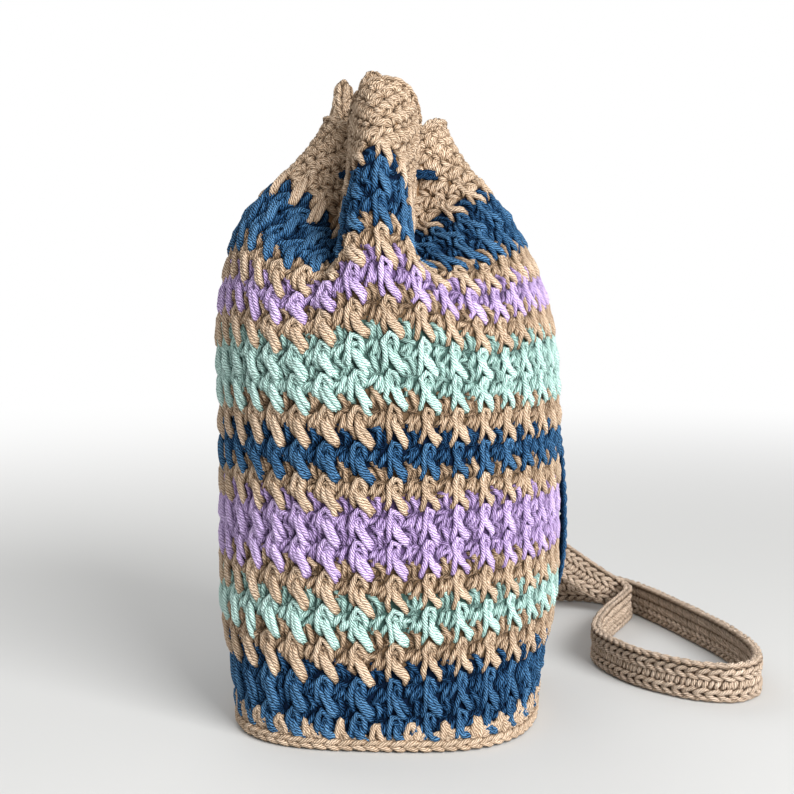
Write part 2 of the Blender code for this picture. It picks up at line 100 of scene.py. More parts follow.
# The valleys and crests above the body, at stations given in rows and then in shares of the collar:
# the share of the way out from the neck's radius to the body's, and the height in rows.
STATIONS = (10.0, 11.0, 12.5, 14.0, 15.5, 17.0)
COLLAR_STATIONS = (0.24, 0.48, 0.72, 1.0)
VALLEY = (
    (1.0, 9.92), (0.990, 10.90), (0.927, 12.34), (0.761, 13.52), (0.431, 14.24), (0.138, 14.80),
    (0.028, 15.48), (0.0, 16.24), (0.0, 17.04), (0.009, 17.88),
)
FRONT = (
    (1.0, 9.92), (0.995, 10.93), (0.958, 12.41), (0.899, 13.92), (0.798, 15.40), (0.661, 16.87),
    (0.578, 17.50), (0.486, 18.12), (0.385, 18.74), (0.275, 19.30),
)
SIDE = (
    (1.0, 9.92), (0.995, 10.83), (0.958, 12.30), (0.865, 13.67), (0.728, 15.00), (0.497, 16.15),
    (0.358, 16.64), (0.244, 17.15), (0.148, 17.68), (0.075, 18.22),
)
BACK = (
    (1.0, 9.92), (0.995, 10.83), (0.958, 12.30), (0.866, 13.70), (0.734, 15.07), (0.569, 16.40),
    (0.486, 17.16), (0.413, 17.98), (0.339, 18.85), (0.275, 19.80),
)
NARROW = (
    (1.0, 9.92), (0.995, 10.83), (0.958, 12.30), (0.859, 13.67), (0.697, 15.00), (0.495, 16.30),
    (0.360, 17.08), (0.230, 17.90), (0.125, 18.75), (0.070, 19.55),
)
CREST = {"front": FRONT, "side": SIDE, "back": BACK, "narrow": NARROW}
FOLD_ROWS = (10.0, 13.0, 14.5)
FOLD_SHARES = (0.0, 0.4, 1.0)
FOLD_POWER = 2.4
TALLER_SHARES = (0.0, 0.15, 1.0)
FRONT_SPREAD = (
    (10.0, 2.2), (12.0, 2.15), (13.0, 1.95), (13.6, 1.7), (14.3, 1.25), (15.2, 1.06), (17.0, 1.0),
)
LEAN = (
    (0.0, 0.0), (9.0, 0.0), (11.5, -0.0014), (14.0, -0.0036), (15.5, -0.0055), (17.0, -0.0050),
    (18.5, -0.0032), (20.0, -0.0020),
)


def smooth(x, xs, ys):
    """The curve through (xs, ys) in cubic pieces. The slope at each point is the slope between its
    two neighbours, and level where the values turn back."""
    x = np.clip(np.asarray(x, float), xs[0], xs[-1])
    xs, ys = np.asarray(xs, float), np.asarray(ys, float)
    step = np.diff(xs)
    rise = np.diff(ys) / step
    slope = np.concatenate([rise[:1], (ys[2:] - ys[:-2]) / (xs[2:] - xs[:-2]), rise[-1:]])
    slope[1:-1] *= rise[:-1] * rise[1:] > 0
    i = np.clip(np.searchsorted(xs, x, side="right") - 1, 0, len(step) - 1)
    t = (x - xs[i]) / step[i]
    return (
        ys[i] * (1 + 2 * t) * (1 - t) ** 2
        + ys[i + 1] * t * t * (3 - 2 * t)
        + step[i] * t * (1 - t) * (slope[i] * (1 - t) - slope[i + 1] * t)
    )


def collar_rows(share):
    """The row, in the body's row heights, at a share of the collar's height."""
    return BODY_ROWS + share * COLLAR_HEIGHT / ROW_HEIGHT


def outline(line, rows):
    """Radius and height along a valley or crest line: the neck's radius plus a share of the shoulder,
    and a count of row heights."""
    stations = list(STATIONS) + [collar_rows(share) for share in COLLAR_STATIONS]
    share, height = (smooth(rows, stations, list(column)) for column in zip(*line))
    return NECK_RADIUS + (BODY_RADIUS - NECK_RADIUS) * share, height * ROW_HEIGHT


def pleat_angles(rows):
    """Angles of the valleys and crests. The two valleys beside the front pleat spread apart below the
    neck so that the chord between them grows by the front spread."""
    widths = np.array([width for _, width, _ in PLEATS]) * 2 * math.pi / PLEAT_UNITS
    valleys = FRONT_ANGLE - widths[0] / 2 + np.concatenate([[0.0], np.cumsum(widths)])
    crests = valleys[:-1] + widths / 2
    valleys = [np.full_like(rows, valley) for valley in valleys]
    apart = smooth(rows, *zip(*FRONT_SPREAD)) * NECK_RADIUS * math.sin(widths[0] / 2)
    spread = np.arcsin(apart / outline(VALLEY, rows)[0])
    valleys[0], valleys[1] = FRONT_ANGLE - spread, FRONT_ANGLE + spread
    valleys[-1] = valleys[0] + 2 * math.pi
    return valleys, crests


def wall(angle, rows):
    """The cloth's outer surface over angle and rows. The body is a superellipse that goes from the
    base to a circle. Above it, each half pleat goes from a radius that rises from valley to crest by
    a squared sine to a superellipse that stands on the valley and reaches out to the crest."""
    angle, rows = np.broadcast_arrays(np.asarray(angle, float), np.asarray(rows, float))
    low_rows, widths, powers = (list(column) for column in zip(*BARREL))
    grown = smooth(rows, low_rows, widths)
    wide = BASE_HALF_WIDTH + (BODY_RADIUS - BASE_HALF_WIDTH) * grown
    deep = BASE_HALF_DEPTH + (BODY_RADIUS - BASE_HALF_DEPTH) * grown
    power = smooth(rows, low_rows, powers)
    turned = angle - BASE_TURN
    powers_sum = np.abs(np.cos(turned) / wide) ** power + np.abs(np.sin(turned) / deep) ** power
    radius = powers_sum ** (-1 / power)
    height = rows * ROW_HEIGHT * VALLEY[0][1] / STATIONS[0]
    points = np.stack([radius * np.cos(angle), radius * np.sin(angle), height], axis=-1)

    valleys, crests = pleat_angles(rows)
    inner, low = outline(VALLEY, rows)
    fold = smooth(rows, FOLD_ROWS, FOLD_SHARES)
    lift = smooth(rows, (STATIONS[0], STATIONS[3], collar_rows(1)), TALLER_SHARES)
    round_turn = valleys[0] + np.mod(angle - valleys[0], 2 * math.pi)
    for number, (kind, _, taller) in enumerate(PLEATS):
        outer, high = outline(CREST[kind], rows)
        high = high + taller * lift
        crest = crests[number]
        for valley, side in ((valleys[number], -1), (valleys[number + 1], 1)):
            spread = np.abs(crest - valley)
            climb = 1 - np.abs(round_turn - crest) / spread
            here = (rows >= STATIONS[0]) & (climb >= 0) & (side * (round_turn - crest) >= 0)
            climb = np.clip(climb, 0, 1) * math.pi / 2
            rise, fall = np.sin(climb), np.cos(climb)
            reach = rise ** (2 / FOLD_POWER)
            ahead = inner * np.cos(spread) + (outer - inner * np.cos(spread)) * reach
            aside = side * inner * np.sin(spread) * fall ** (2 / FOLD_POWER)
            radius = inner + (outer - inner) * rise**2
            up = rise**2 + fold * (reach - rise**2)
            x = radius * np.cos(angle) * (1 - fold)
            x += fold * (ahead * math.cos(crest) - aside * math.sin(crest))
            y = radius * np.sin(angle) * (1 - fold)
            y += fold * (ahead * math.sin(crest) + aside * math.cos(crest))
            points[here] = np.stack([x, y, low + (high - low) * up], axis=-1)[here]
    points[..., 0] += smooth(rows, *zip(*LEAN))
    return points


# The columns of stitches run up the cloth, evenly wide around it at every height, but for the two at
# the front that a soft ridge spreads. The cloth is read once, into a fine grid of places and
# directions, and each stitch finds its place there by its column and row.
COLUMNS = 38
RIDGE_TURN = math.radians(-4.15)
RIDGE_SPREAD = 0.30
RIDGE_WIDTH = 1.5
GRID_ROWS = 261
GRID_COLUMNS = COLUMNS * 24
FINE_TURNS = 1440
TOP_ROW = collar_rows(1.0)


def unit(vectors):
    """An array's vectors at length 1, and a vector of no length as it is."""
    length = np.linalg.norm(vectors, axis=-1)[..., None]
    return vectors / np.where(length > 0, length, 1)


def distances(points):
    """How far along its line each point is, by the steps between the points, for one line or many."""
    steps = np.cumsum(np.linalg.norm(np.diff(points, axis=-2), axis=-1), axis=-1)
    return np.concatenate([np.zeros((*steps.shape[:-1], 1)), steps], axis=-1)


def column_share(column):
    """How far round the cloth a column is, as a share: its count over half the number of columns,
    spread by a hyperbolic tangent about the ridge."""
    spread = column + RIDGE_SPREAD * np.tanh(column / RIDGE_WIDTH)
    return RIDGE_TURN / (2 * math.pi) + spread / (COLUMNS / 2 + RIDGE_SPREAD) / 2


def cloth_grid():
    """Places and outward directions on an even grid: the wall is measured along each row, and the
    columns are set off on it by their share of its length."""
    grid_rows = np.linspace(0, TOP_ROW, GRID_ROWS)
    turns = FRONT_ANGLE + np.linspace(-math.pi, math.pi, FINE_TURNS + 1)
    around = wall(turns[None, :], grid_rows[:, None])
    travelled = distances(around)
    share = travelled / travelled[:, -1:] - 0.5
    share -= share[:, FINE_TURNS // 2 : FINE_TURNS // 2 + 1]
    wanted = column_share(np.linspace(-COLUMNS / 2, COLUMNS / 2, GRID_COLUMNS, endpoint=False))
    places = np.empty((GRID_ROWS, GRID_COLUMNS, 3))
    for row in range(GRID_ROWS):
        three = np.concatenate([share[row, :-1] - 1, share[row, :-1], share[row, :-1] + 1])
        for axis in range(3):
            places[row, :, axis] = np.interp(wanted, three, np.tile(around[row, :-1, axis], 3))
    along_row = np.roll(places, -2, axis=1) - np.roll(places, 2, axis=1)
    up_column = np.gradient(places, axis=0)
    return places, unit(np.cross(along_row, up_column))


CLOTH_PLACES, CLOTH_OUTWARD = cloth_grid()


def on_cloth(column, row, out):
    """Points a distance out of the cloth at arrays of columns and rows, read between the grid's
    lines in proportion. Returns the points and the outward directions there."""
    x = np.mod(column + COLUMNS / 2, COLUMNS) * GRID_COLUMNS / COLUMNS
    y = np.clip(row, 0, TOP_ROW) / TOP_ROW * (GRID_ROWS - 1)
    left = np.floor(x).astype(int)
    low = np.minimum(y.astype(int), GRID_ROWS - 2)
    along, up = (x - left)[..., None], (y - low)[..., None]
    right = (left + 1) % GRID_COLUMNS
    left = left % GRID_COLUMNS
    read = []
    for grid in (CLOTH_PLACES, CLOTH_OUTWARD):
        lower = grid[low, left] * (1 - along) + grid[low, right] * along
        upper = grid[low + 1, left] * (1 - along) + grid[low + 1, right] * along
        read.append(lower * (1 - up) + upper * up)
    places, outward = read
    return places + outward * out[..., None], outward


# The rows do not run level. Low down they rise towards the sides. Higher up they rise over the left
# shoulder and on the crest of the front pleat, and dip in the valleys beside it. Rises are in rows,
# and each wave has a middle column, a half width in columns and its rises.
LEVEL_ROWS = (0.0, 0.5, 2.1, 3.5, 5.0, 8.2, 10.0, TOP_ROW)
RISE_ALL_ROUND = (0.0, 0.0, 0.04, 0.09, 0.17, 0.05, 0.0, 0.0)
RISE_AT_SIDES = (0.0, 0.28, 0.50, 0.46, 0.24, 0.06, 0.05, 0.0)
SIDE_POWER = 0.8
WAVE_ROWS = (8.2, 10.0, 11.8, 13.3, 14.6, 15.8, 17.0, TOP_ROW)
LEFT_SHOULDER = (-5.6, 2.0, (0.0, 0.10, 0.06, 0.18, 0.27, 0.36, 0.42, 0.0))
LEFT_DIP = (-2.7, 1.5, (0.0, 0.05, -0.18, -0.46, -0.48, -0.30, 0.10, 0.0))
FRONT_CREST = (0.2, 1.7, (0.0, 0.17, 0.25, 0.36, 0.40, 0.38, 0.36, 0.0))
RIGHT_DIP = (4.0, 1.7, (0.0, -0.03, -0.25, -0.35, -0.38, -0.18, 0.0, 0.0))
WAVES = (LEFT_SHOULDER, LEFT_DIP, FRONT_CREST, RIGHT_DIP)


def rise_at(column, row):
    """How much the rows rise at arrays of columns and rows: a lift all round, one that grows with a
    power of the sine of the turn to the side, and a bell curve for each wave. Each is read between
    its rows in proportion."""
    turned = np.mod(column + COLUMNS / 2, COLUMNS) - COLUMNS / 2
    aside = np.abs(np.sin(2 * math.pi * column / COLUMNS)) ** SIDE_POWER
    rise = np.interp(row, LEVEL_ROWS, RISE_ALL_ROUND) + aside * np.interp(row, LEVEL_ROWS, RISE_AT_SIDES)
    for middle, width, heights in WAVES:
        rise = rise + np.exp(-(((turned - middle) / width) ** 2)) * np.interp(row, WAVE_ROWS, heights)
    return rise


def on_rows(column, row, out):
    """Points out of the cloth as on_cloth gives them, where the rows rise as the real ones do."""
    return on_cloth(column, row + rise_at(column, row), out)


# The yarn: worsted cotton, drawn as closed tubes with a map along and around each strand. Its six
# plies are a fine twist in the bump, and in the colour as painted light and shade, darker in the
# grooves and lighter on the crowns; both are read from that map.
YARN_RADIUS = 0.00128
PLY_LENGTH = 0.0086
PLIES = 6
END_ROUNDING = (0.60, 0.92)
TONE_SPREAD = 0.09
THICKNESS_SPREAD = 0.05
# A strand's painted shade counts its underside as no more than this share of its radius below its middle
# line.
UNDERSIDE = -0.2

# Yarn that lies deep between its neighbours is in their shade, and that shade is painted into its
# colour: its lightness falls to a share over a range of depths below the face of the cloth, in metres.
DEEP_LIGHTNESS = 0.09
DEEP_FROM = 0.0001
DEEP_TO = 0.0027

# All small differences between stitches come from this one source of chance.
chance = np.random.default_rng(17)


def through(places, count):
    """A smooth line of count points through each row of places (strand, place, number): cubic pieces
    whose slope at a place is half the step between its neighbours (Catmull-Rom)."""
    ahead_of = 2 * places[:, :1] - places[:, 1:2]
    past = 2 * places[:, -1:] - places[:, -2:-1]
    longer = np.concatenate([ahead_of, places, past], axis=1)
    at = np.linspace(0, places.shape[1] - 1, count)
    piece = np.minimum(at.astype(int), places.shape[1] - 2)
    t = (at - piece)[None, :, None]
    a, b, c, d = (longer[:, piece + shift] for shift in range(4))
    return b + 0.5 * t * (c - a + t * (2 * a - 5 * b + 4 * c - d + t * (3 * b - a - 3 * c + d)))


def square_to(vectors, ahead):
    """Vectors less their share along the directions ahead, at length 1."""
    return unit(vectors - np.sum(vectors * ahead, axis=-1)[..., None] * ahead)


def strand(lines, outward, radius, sides, out, deep_to=DEEP_TO):
    """Closed tubes round many lines at once: rings of the radius about each point, square to the way
    the line goes, and narrower in the first and last two rings. Out is how far each point of a line
    is above the cloth's face, and at a depth of deep_to the painted shade is darkest. Returns the
    points of all rings, the distance along each line and a tone for each point: a random one for
    each strand, times a painted shade that darkens it by how far the point is below the face."""
    ahead = unit(np.gradient(lines, axis=1))
    up = square_to(outward, ahead)
    aside = np.cross(ahead, up)
    count = lines.shape[1]
    narrow = np.ones(count)
    narrow[0], narrow[1], narrow[-2], narrow[-1] = END_ROUNDING + END_ROUNDING[::-1]
    turn = 2 * math.pi * np.arange(sides) / sides
    radius = np.broadcast_to(radius, len(lines))[:, None, None] * narrow[:, None]
    wide = radius[..., None] * (1 + THICKNESS_SPREAD * chance.standard_normal((len(lines), 1, 1, 1)))
    ring = np.cos(turn)[:, None] * up[:, :, None] + np.sin(turn)[:, None] * aside[:, :, None]
    far = distances(lines) + chance.random((len(lines), 1)) * PLY_LENGTH
    tone = 1 + TONE_SPREAD * (2 * chance.random(len(lines)) - 1)
    # Painted shade: the depth of each ring point below the cloth's face darkens its tone.
    deep = -out[:, :, None] - radius * np.maximum(np.cos(turn), UNDERSIDE)
    deep = np.clip((deep - DEEP_FROM) / (deep_to - DEEP_FROM), 0, 1)
    shade = 1 - (1 - DEEP_LIGHTNESS) * deep * deep * (3 - 2 * deep)
    return lines[:, :, None] + wide * ring, far, tone[:, None, None] * shade


def faces_of(grid):
    """Quads between the rings of each strand and a face on each of its ends, as what a grid (strand,
    ring, place round) holds at their corners. Its last place round is the first one again."""
    quads = np.stack([grid[:, :-1, :-1], grid[:, :-1, 1:], grid[:, 1:, 1:], grid[:, 1:, :-1]], axis=-1)
    ends = np.concatenate([grid[:, 0, -2::-1], grid[:, -1, :-1]], axis=0)
    return quads, ends


def piece_of(name, strands, material):
    """One mesh of many strands: quads between the rings of each strand, a many-sided face on each of
    its ends, the map (distance along, share of the way round) and the tone of each point, which
    holds its painted shade."""
    points, corners, sizes, along_map, tones, start = [], [], [], [], [], 0
    for rings, far, tone in strands:
        count, length, sides, _ = rings.shape
        index = start + np.arange(count * length * sides).reshape(count, length, sides)
        index = np.concatenate([index, index[:, :, :1]], axis=2)
        quads, ends = faces_of(index)
        far = np.broadcast_to(far[:, :, None], index.shape)
        share = np.broadcast_to(np.arange(sides + 1) / sides, index.shape)
        for grid in (far, share):
            along_map.append(np.concatenate([part.ravel() for part in faces_of(grid)]))
        corners += [quads.ravel(), ends.ravel()]
        sizes += [np.full(quads.size // 4, 4), np.full(len(ends), sides)]
        points.append(rings.reshape(-1, 3))
        tones.append(tone.ravel())
        start += count * length * sides
    points, corners, sizes = np.concatenate(points), np.concatenate(corners), np.concatenate(sizes)
    mesh = bpy.data.meshes.new(name)
    mesh.vertices.add(len(points))
    mesh.vertices.foreach_set("co", points.astype(np.float32).ravel())
    mesh.loops.add(len(corners))
    mesh.loops.foreach_set("vertex_index", corners.astype(np.int32))
    mesh.polygons.add(len(sizes))
    mesh.polygons.foreach_set("loop_start", np.concatenate([[0], np.cumsum(sizes)[:-1]]).astype(np.int32))
    mesh.polygons.foreach_set("loop_total", sizes.astype(np.int32))
    uv = mesh.uv_layers.new(name="yarn")
    both = np.stack([np.concatenate(along_map[0::2]), np.concatenate(along_map[1::2])], axis=1)
    uv.data.foreach_set("uv", both.astype(np.float32).ravel())
    # The tone of each point: its strand's random tone times its painted shade.
    tone = mesh.attributes.new("tone", "FLOAT", "POINT")
    tone.data.foreach_set("value", np.concatenate(tones).astype(np.float32))
    mesh.update()
    mesh.shade_smooth()
    mesh.materials.append(material)
    return in_scene(name, mesh)


STRAY_SCALE = 700.0
STRAY_TURN = 0.16
CROWN_POWER = 0.65
FIBRES_ROUND = 15.0
FIBRES_PER_METRE = 600.0
FIBRE_HEIGHT = 0.7
FIBRE_CONTRAST = 1.5
FIBRE_LIGHTNESS = 0.04
PATCH_SCALE = 90.0
PATCH_LOWEST = 0.85
PATCH_RANGE = 0.30
# How much more saturated the painted shade makes deep yarn.
DEEP_GAMMA = 0.75
PLY_BUMP = 0.0007


def noise_at(nodes, links, vector, scale, detail):
    """A noise texture's value at places that a socket gives."""
    noise = nodes.new("ShaderNodeTexNoise")
    noise.inputs["Scale"].default_value = scale
    noise.inputs["Detail"].default_value = detail
    links.new(vector, noise.inputs["Vector"])
    return noise.outputs["Fac"]


def bumped(nodes, links, height, distance):
    """The normal of a bump as high as a socket's value times a distance."""
    bump = nodes.new("ShaderNodeBump")
    bump.inputs["Distance"].default_value = distance
    links.new(height, bump.inputs["Height"])
    return bump.outputs["Normal"]


def yarn_twist():
    """The twist as a node group. Ply: the sine of the plies times (distance over ply length plus
    share round), without its sign, so that it is 0 in the grooves. Fibre: noise drawn out along the
    plies. The colour goes from groove to crown with both, as painted light and shade of the plies:
    darker in the grooves, lighter on the crowns. It varies in patches, and darkens and grows more
    saturated with the strand's tone, which holds painted shade by depth. It puts out that colour, and
    a normal from both heights."""
    group = bpy.data.node_groups.new("yarn twist", "ShaderNodeTree")
    socket = group.interface.new_socket
    socket("Crown", in_out="INPUT", socket_type="NodeSocketColor")
    socket("Groove", in_out="INPUT", socket_type="NodeSocketColor")
    socket("Contrast", in_out="INPUT", socket_type="NodeSocketFloat")
    socket("Color", in_out="OUTPUT", socket_type="NodeSocketColor")
    socket("Normal", in_out="OUTPUT", socket_type="NodeSocketVector")
    nodes, links = group.nodes, group.links

    def value(operation, *inputs):
        """A math node's result for numbers and sockets."""
        node = nodes.new("ShaderNodeMath")
        node.operation = operation
        for place, given in enumerate(inputs):
            if isinstance(given, (int, float)):
                node.inputs[place].default_value = given
            else:
                links.new(given, node.inputs[place])
        return node.outputs[0]

    given = nodes.new("NodeGroupInput").outputs
    out = nodes.new("NodeGroupOutput").inputs
    uv = nodes.new("ShaderNodeUVMap")
    uv.uv_map = "yarn"
    split = nodes.new("ShaderNodeSeparateXYZ")
    links.new(uv.outputs[0], split.inputs[0])
    along, share = split.outputs[0], split.outputs[1]
    place = nodes.new("ShaderNodeTexCoord").outputs["Object"]
    stray = noise_at(nodes, links, place, STRAY_SCALE, 1.0)
    even = value("ADD", value("DIVIDE", along, PLY_LENGTH), share)
    turn = value("ADD", even, value("MULTIPLY", value("SUBTRACT", stray, 0.5), STRAY_TURN))
    ply = value("ABSOLUTE", value("SINE", value("MULTIPLY", turn, math.pi * PLIES)))
    crown = value("POWER", ply, CROWN_POWER)
    joined = nodes.new("ShaderNodeCombineXYZ")
    links.new(value("MULTIPLY", even, FIBRES_ROUND), joined.inputs[0])
    links.new(value("MULTIPLY", along, FIBRES_PER_METRE), joined.inputs[1])
    fibre = noise_at(nodes, links, joined.outputs[0], 1.0, 3.0)
    patch = noise_at(nodes, links, place, PATCH_SCALE, 3.0)
    strand_tone_and_shade = nodes.new("ShaderNodeAttribute")
    strand_tone_and_shade.attribute_name = "tone"
    height = value("ADD", crown, value("MULTIPLY", fibre, FIBRE_HEIGHT))
    streaks = value("MULTIPLY", value("SUBTRACT", fibre, 0.5), FIBRE_CONTRAST)
    lightness = value("MAXIMUM", value("ADD", crown, value("ADD", streaks, FIBRE_LIGHTNESS)), 0.0)
    lightness = value("POWER", lightness, given["Contrast"])
    # Painted light and shade of the plies: from the groove colour to the crown colour by lightness.
    mix = nodes.new("ShaderNodeMix")
    mix.data_type = "RGBA"
    links.new(lightness, mix.inputs["Factor"])
    links.new(given["Groove"], mix.inputs["A"])
    links.new(given["Crown"], mix.inputs["B"])
    uneven = value("ADD", value("MULTIPLY", patch, PATCH_RANGE), PATCH_LOWEST)
    shade = value("MULTIPLY", uneven, strand_tone_and_shade.outputs["Fac"])
    # Painted shade: deeper yarn is made darker and more saturated, by a gamma and a scale from its tone.
    deepened = nodes.new("ShaderNodeGamma")
    links.new(mix.outputs["Result"], deepened.inputs["Color"])
    deepening = value("MULTIPLY", value("SUBTRACT", 1.0, strand_tone_and_shade.outputs["Fac"]), DEEP_GAMMA)
    links.new(value("ADD", deepening, 1.0), deepened.inputs["Gamma"])
    toned = nodes.new("ShaderNodeVectorMath")
    toned.operation = "SCALE"
    links.new(deepened.outputs[0], toned.inputs[0])
    links.new(shade, toned.inputs["Scale"])
    links.new(toned.outputs[0], out["Color"])
    links.new(bumped(nodes, links, height, PLY_BUMP), out["Normal"])
    return group


TWIST = yarn_twist()
YARN_ROUGHNESS = 0.82
YARN_GLOSS = 0.04
SHEEN_ROUGHNESS = 0.45


def with_nodes(made):
    """A material's or a world's nodes and their links, turned on."""
    made.use_nodes = True
    return made.node_tree.nodes, made.node_tree.links


def yarn_material(name, crown, groove, contrast, sheen):
    """Cotton yarn: the twist's colour, with its painted light and shade, and its normal on a rough surface
    with a soft sheen.
    """
    made = bpy.data.materials.new(name)
    nodes, links = with_nodes(made)
    shader = nodes["Principled BSDF"]
    twist = nodes.new("ShaderNodeGroup")
    twist.node_tree = TWIST
    twist.inputs["Crown"].default_value = (*crown, 1)
    twist.inputs["Groove"].default_value = (*groove, 1)
    twist.inputs["Contrast"].default_value = contrast
    links.new(twist.outputs["Color"], shader.inputs["Base Color"])
    links.new(twist.outputs["Normal"], shader.inputs["Normal"])
    shader.inputs["Roughness"].default_value = YARN_ROUGHNESS
    shader.inputs["Specular IOR Level"].default_value = YARN_GLOSS
    shader.inputs["Sheen Weight"].default_value = sheen
    shader.inputs["Sheen Roughness"].default_value = SHEEN_ROUGHNESS
    return made


# Each yarn: crown colour, groove colour (painted shade between the plies), contrast and sheen. Blue's
# higher contrast puts more of it in the painted shade.
TAN = yarn_material("tan yarn", (0.78, 0.61, 0.45), (0.39, 0.205, 0.10), 1.0, 0.04)
BLUE = yarn_material("denim blue yarn", (0.10, 0.250, 0.46), (0.0, 0.001, 0.012), 1.8, 0.0)
LILAC = yarn_material("lilac yarn", (0.79, 0.615, 0.965), (0.39, 0.24, 0.54), 1.0, 0.04)
MINT = yarn_material("mint yarn", (0.70, 0.955, 0.895), (0.29, 0.52, 0.455), 1.0, 0.04)
STRAP_TAN = yarn_material("shaded tan yarn", (0.81, 0.65, 0.51), (0.33, 0.195, 0.11), 1.0, 0.04)

# Chains are worked the same way wherever they are: along the rim of the base and of the collar, in
# the drawstring and along the strap. Each stitch is a drop of two legs, seen as a V, and a bump
# behind it. Places are pitches along, shares of the half width and shares of the height.
CHAIN_LEG = (
    (0.00, 0.04, -0.60), (0.14, 0.14, 0.15), (0.42, 0.42, 0.60), (0.78, 0.80, 0.60), (1.08, 1.02, 0.15),
    (1.26, 0.86, -0.45), (1.32, 0.62, -0.80),
)
CHAIN_BUMP = ((0.15, -0.7, -0.4), (0.40, -0.35, -0.95), (0.70, 0.25, -0.95), (0.95, 0.7, -0.4))
CHAIN_OVERLAP = 0.32
CHAIN_CREST = 0.62
CHAIN_JITTER = (0.03, 0.06, 0.06)
CHAIN_SIDES = 6
LEG_POINTS = 7
BUMP_POINTS = 5
POST_POINTS = 5
POST_BOW_POWER = 0.6
POST_SHIFT = 0.08
POST_UNEVEN = 0.15


def laid(path, up, far, aside, out):
    """Points at distances along a path, to the right of it and up from it, and the up directions
    there. Between the path's points all are read in proportion."""
    travelled = distances(path)
    at, upward, forward = (
        np.stack([np.interp(far, travelled, grid[:, axis]) for axis in range(3)], axis=-1)
        for grid in (path, up, np.gradient(path, axis=0))
    )
    forward = unit(forward)
    upward = square_to(upward, forward)
    rightward = np.cross(forward, upward)
    return at + aside[..., None] * rightward + out[..., None] * upward, upward


def path_length(path):
    """How far it is along a path from end to end."""
    return float(distances(path)[-1])


def chain(path, up, pitch, wide, high, radius, closed=False, bumps=True):
    """Strands of a chain of crochet along a path: as many whole stitches as fit it best, each laid on
    it by its places. A closed one runs on over its own start."""
    length = path_length(path)
    if closed:
        count = round(length / pitch)
        pitch = length / count
        path, up = np.concatenate([path, path[1:]]), np.concatenate([up, up[1:]])
    else:
        count = max(2, round(length / pitch - CHAIN_OVERLAP))
        pitch = length / (count + CHAIN_OVERLAP)
    made = []
    parts = [(CHAIN_LEG, 1, LEG_POINTS), (CHAIN_LEG, -1, LEG_POINTS)]
    parts += [(CHAIN_BUMP, 1, BUMP_POINTS)] * bumps
    for places, side, points_along in parts:
        places = np.tile(np.array(places)[None], (count, 1, 1))
        places += chance.standard_normal(places.shape) * CHAIN_JITTER
        line = through(places, points_along)
        far = (np.arange(count)[:, None] + line[:, :, 0]) * pitch
        out = line[:, :, 2] * high
        points, upward = laid(path, up, far, side * line[:, :, 1] * wide, out)
        made.append(strand(points, upward, radius, CHAIN_SIDES, out - CHAIN_CREST * high - radius))
    return made


def posts(path, up, pitch, foot, head, lean, high, radius):
    """Strands that stand across a path side by side: from a foot to a head, given as distances to
    the right of it, bowed out by a half sine, and leaning along it by so many pitches."""
    count = int(path_length(path) / pitch - lean)
    share = np.linspace(0, 1, POST_POINTS)
    bow = np.sin(math.pi * share) ** POST_BOW_POWER
    shift = POST_SHIFT * chance.standard_normal((count, 1))
    far = np.maximum((np.arange(count)[:, None] + shift + lean * share) * pitch, 0)
    aside = np.broadcast_to(foot + (head - foot) * share, far.shape)
    uneven = 1 + POST_UNEVEN * chance.standard_normal((count, 1))
    out = np.broadcast_to((bow - 1) * high, far.shape) * uneven
    points, upward = laid(path, up, far, aside, out)
    return [strand(points, upward, radius, CHAIN_SIDES, out - radius)]


def finished(name, strands, material, slot, *nodes):
    """A piece of strands on the bag's root, in place of CAD nodes."""
    made = piece_of(name, strands, material)
    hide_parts(*nodes)
    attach(made, "root")
    return made


# The base: its rim is a tan chain that lies on the floor all round, with two more over it that climb
# at the corners. Between the lowest blue legs tan loops stand up from them over the cloth.
RIM_YARN = 0.00112
RIM_WIDE = 0.0014
RIM_HIGH = 0.0010
RIM_PITCH = 0.0052
RIM_POINTS = 401
RIM_ROOM = 0.0003
STEP_ROW = 0.235
STEP_WIDE = 0.0014
STEP_CLIMBS = (0.9, 1.9)
STEP_SUNK = 0.0010
CORNER_ROW = 0.5
CENTRE_COLUMN = 0.5
TOWER_JITTER = (0.045, 0.06, 0.00025)
TOWER_SIDES = 6
TOWER = (
    ((0.41, 0.14, 2.2), (0.39, 0.28, 0.4), (0.41, 0.48, 0.0), (0.48, 0.70, 0.0), (0.55, 0.64, 0.2),
     (0.56, 0.44, 0.4), (0.53, 0.28, 1.2), (0.50, 0.14, 2.6)),
    ((0.60, 0.12, 2.0), (0.65, 0.24, 0.3), (0.67, 0.42, 0.1), (0.61, 0.60, 0.5), (0.55, 0.68, 1.9)),
)


def moved(places, jitter):
    """The places of strands of each stitch, moved a little at random. Their depths come in as
    millimetres below the face of the cloth and go out as metres above it."""
    places = places * (1, 1, -0.001)
    return places + chance.standard_normal(places.shape) * jitter


def towers():
    """The loops between the blue legs: one of each strand at every column of stitches."""
    made = []
    centres = (np.arange(COLUMNS) + CENTRE_COLUMN)[:, None]
    for places in TOWER:
        places = moved(np.tile(places, (COLUMNS, 1, 1)), TOWER_JITTER)
        line = through(places, 2 * places.shape[1] - 1)
        out = line[:, :, 2] - YARN_RADIUS
        points, outward = on_rows(centres + line[:, :, 0], line[:, :, 1], out)
        made.append(strand(points, outward, YARN_RADIUS, TOWER_SIDES, out))
    return made


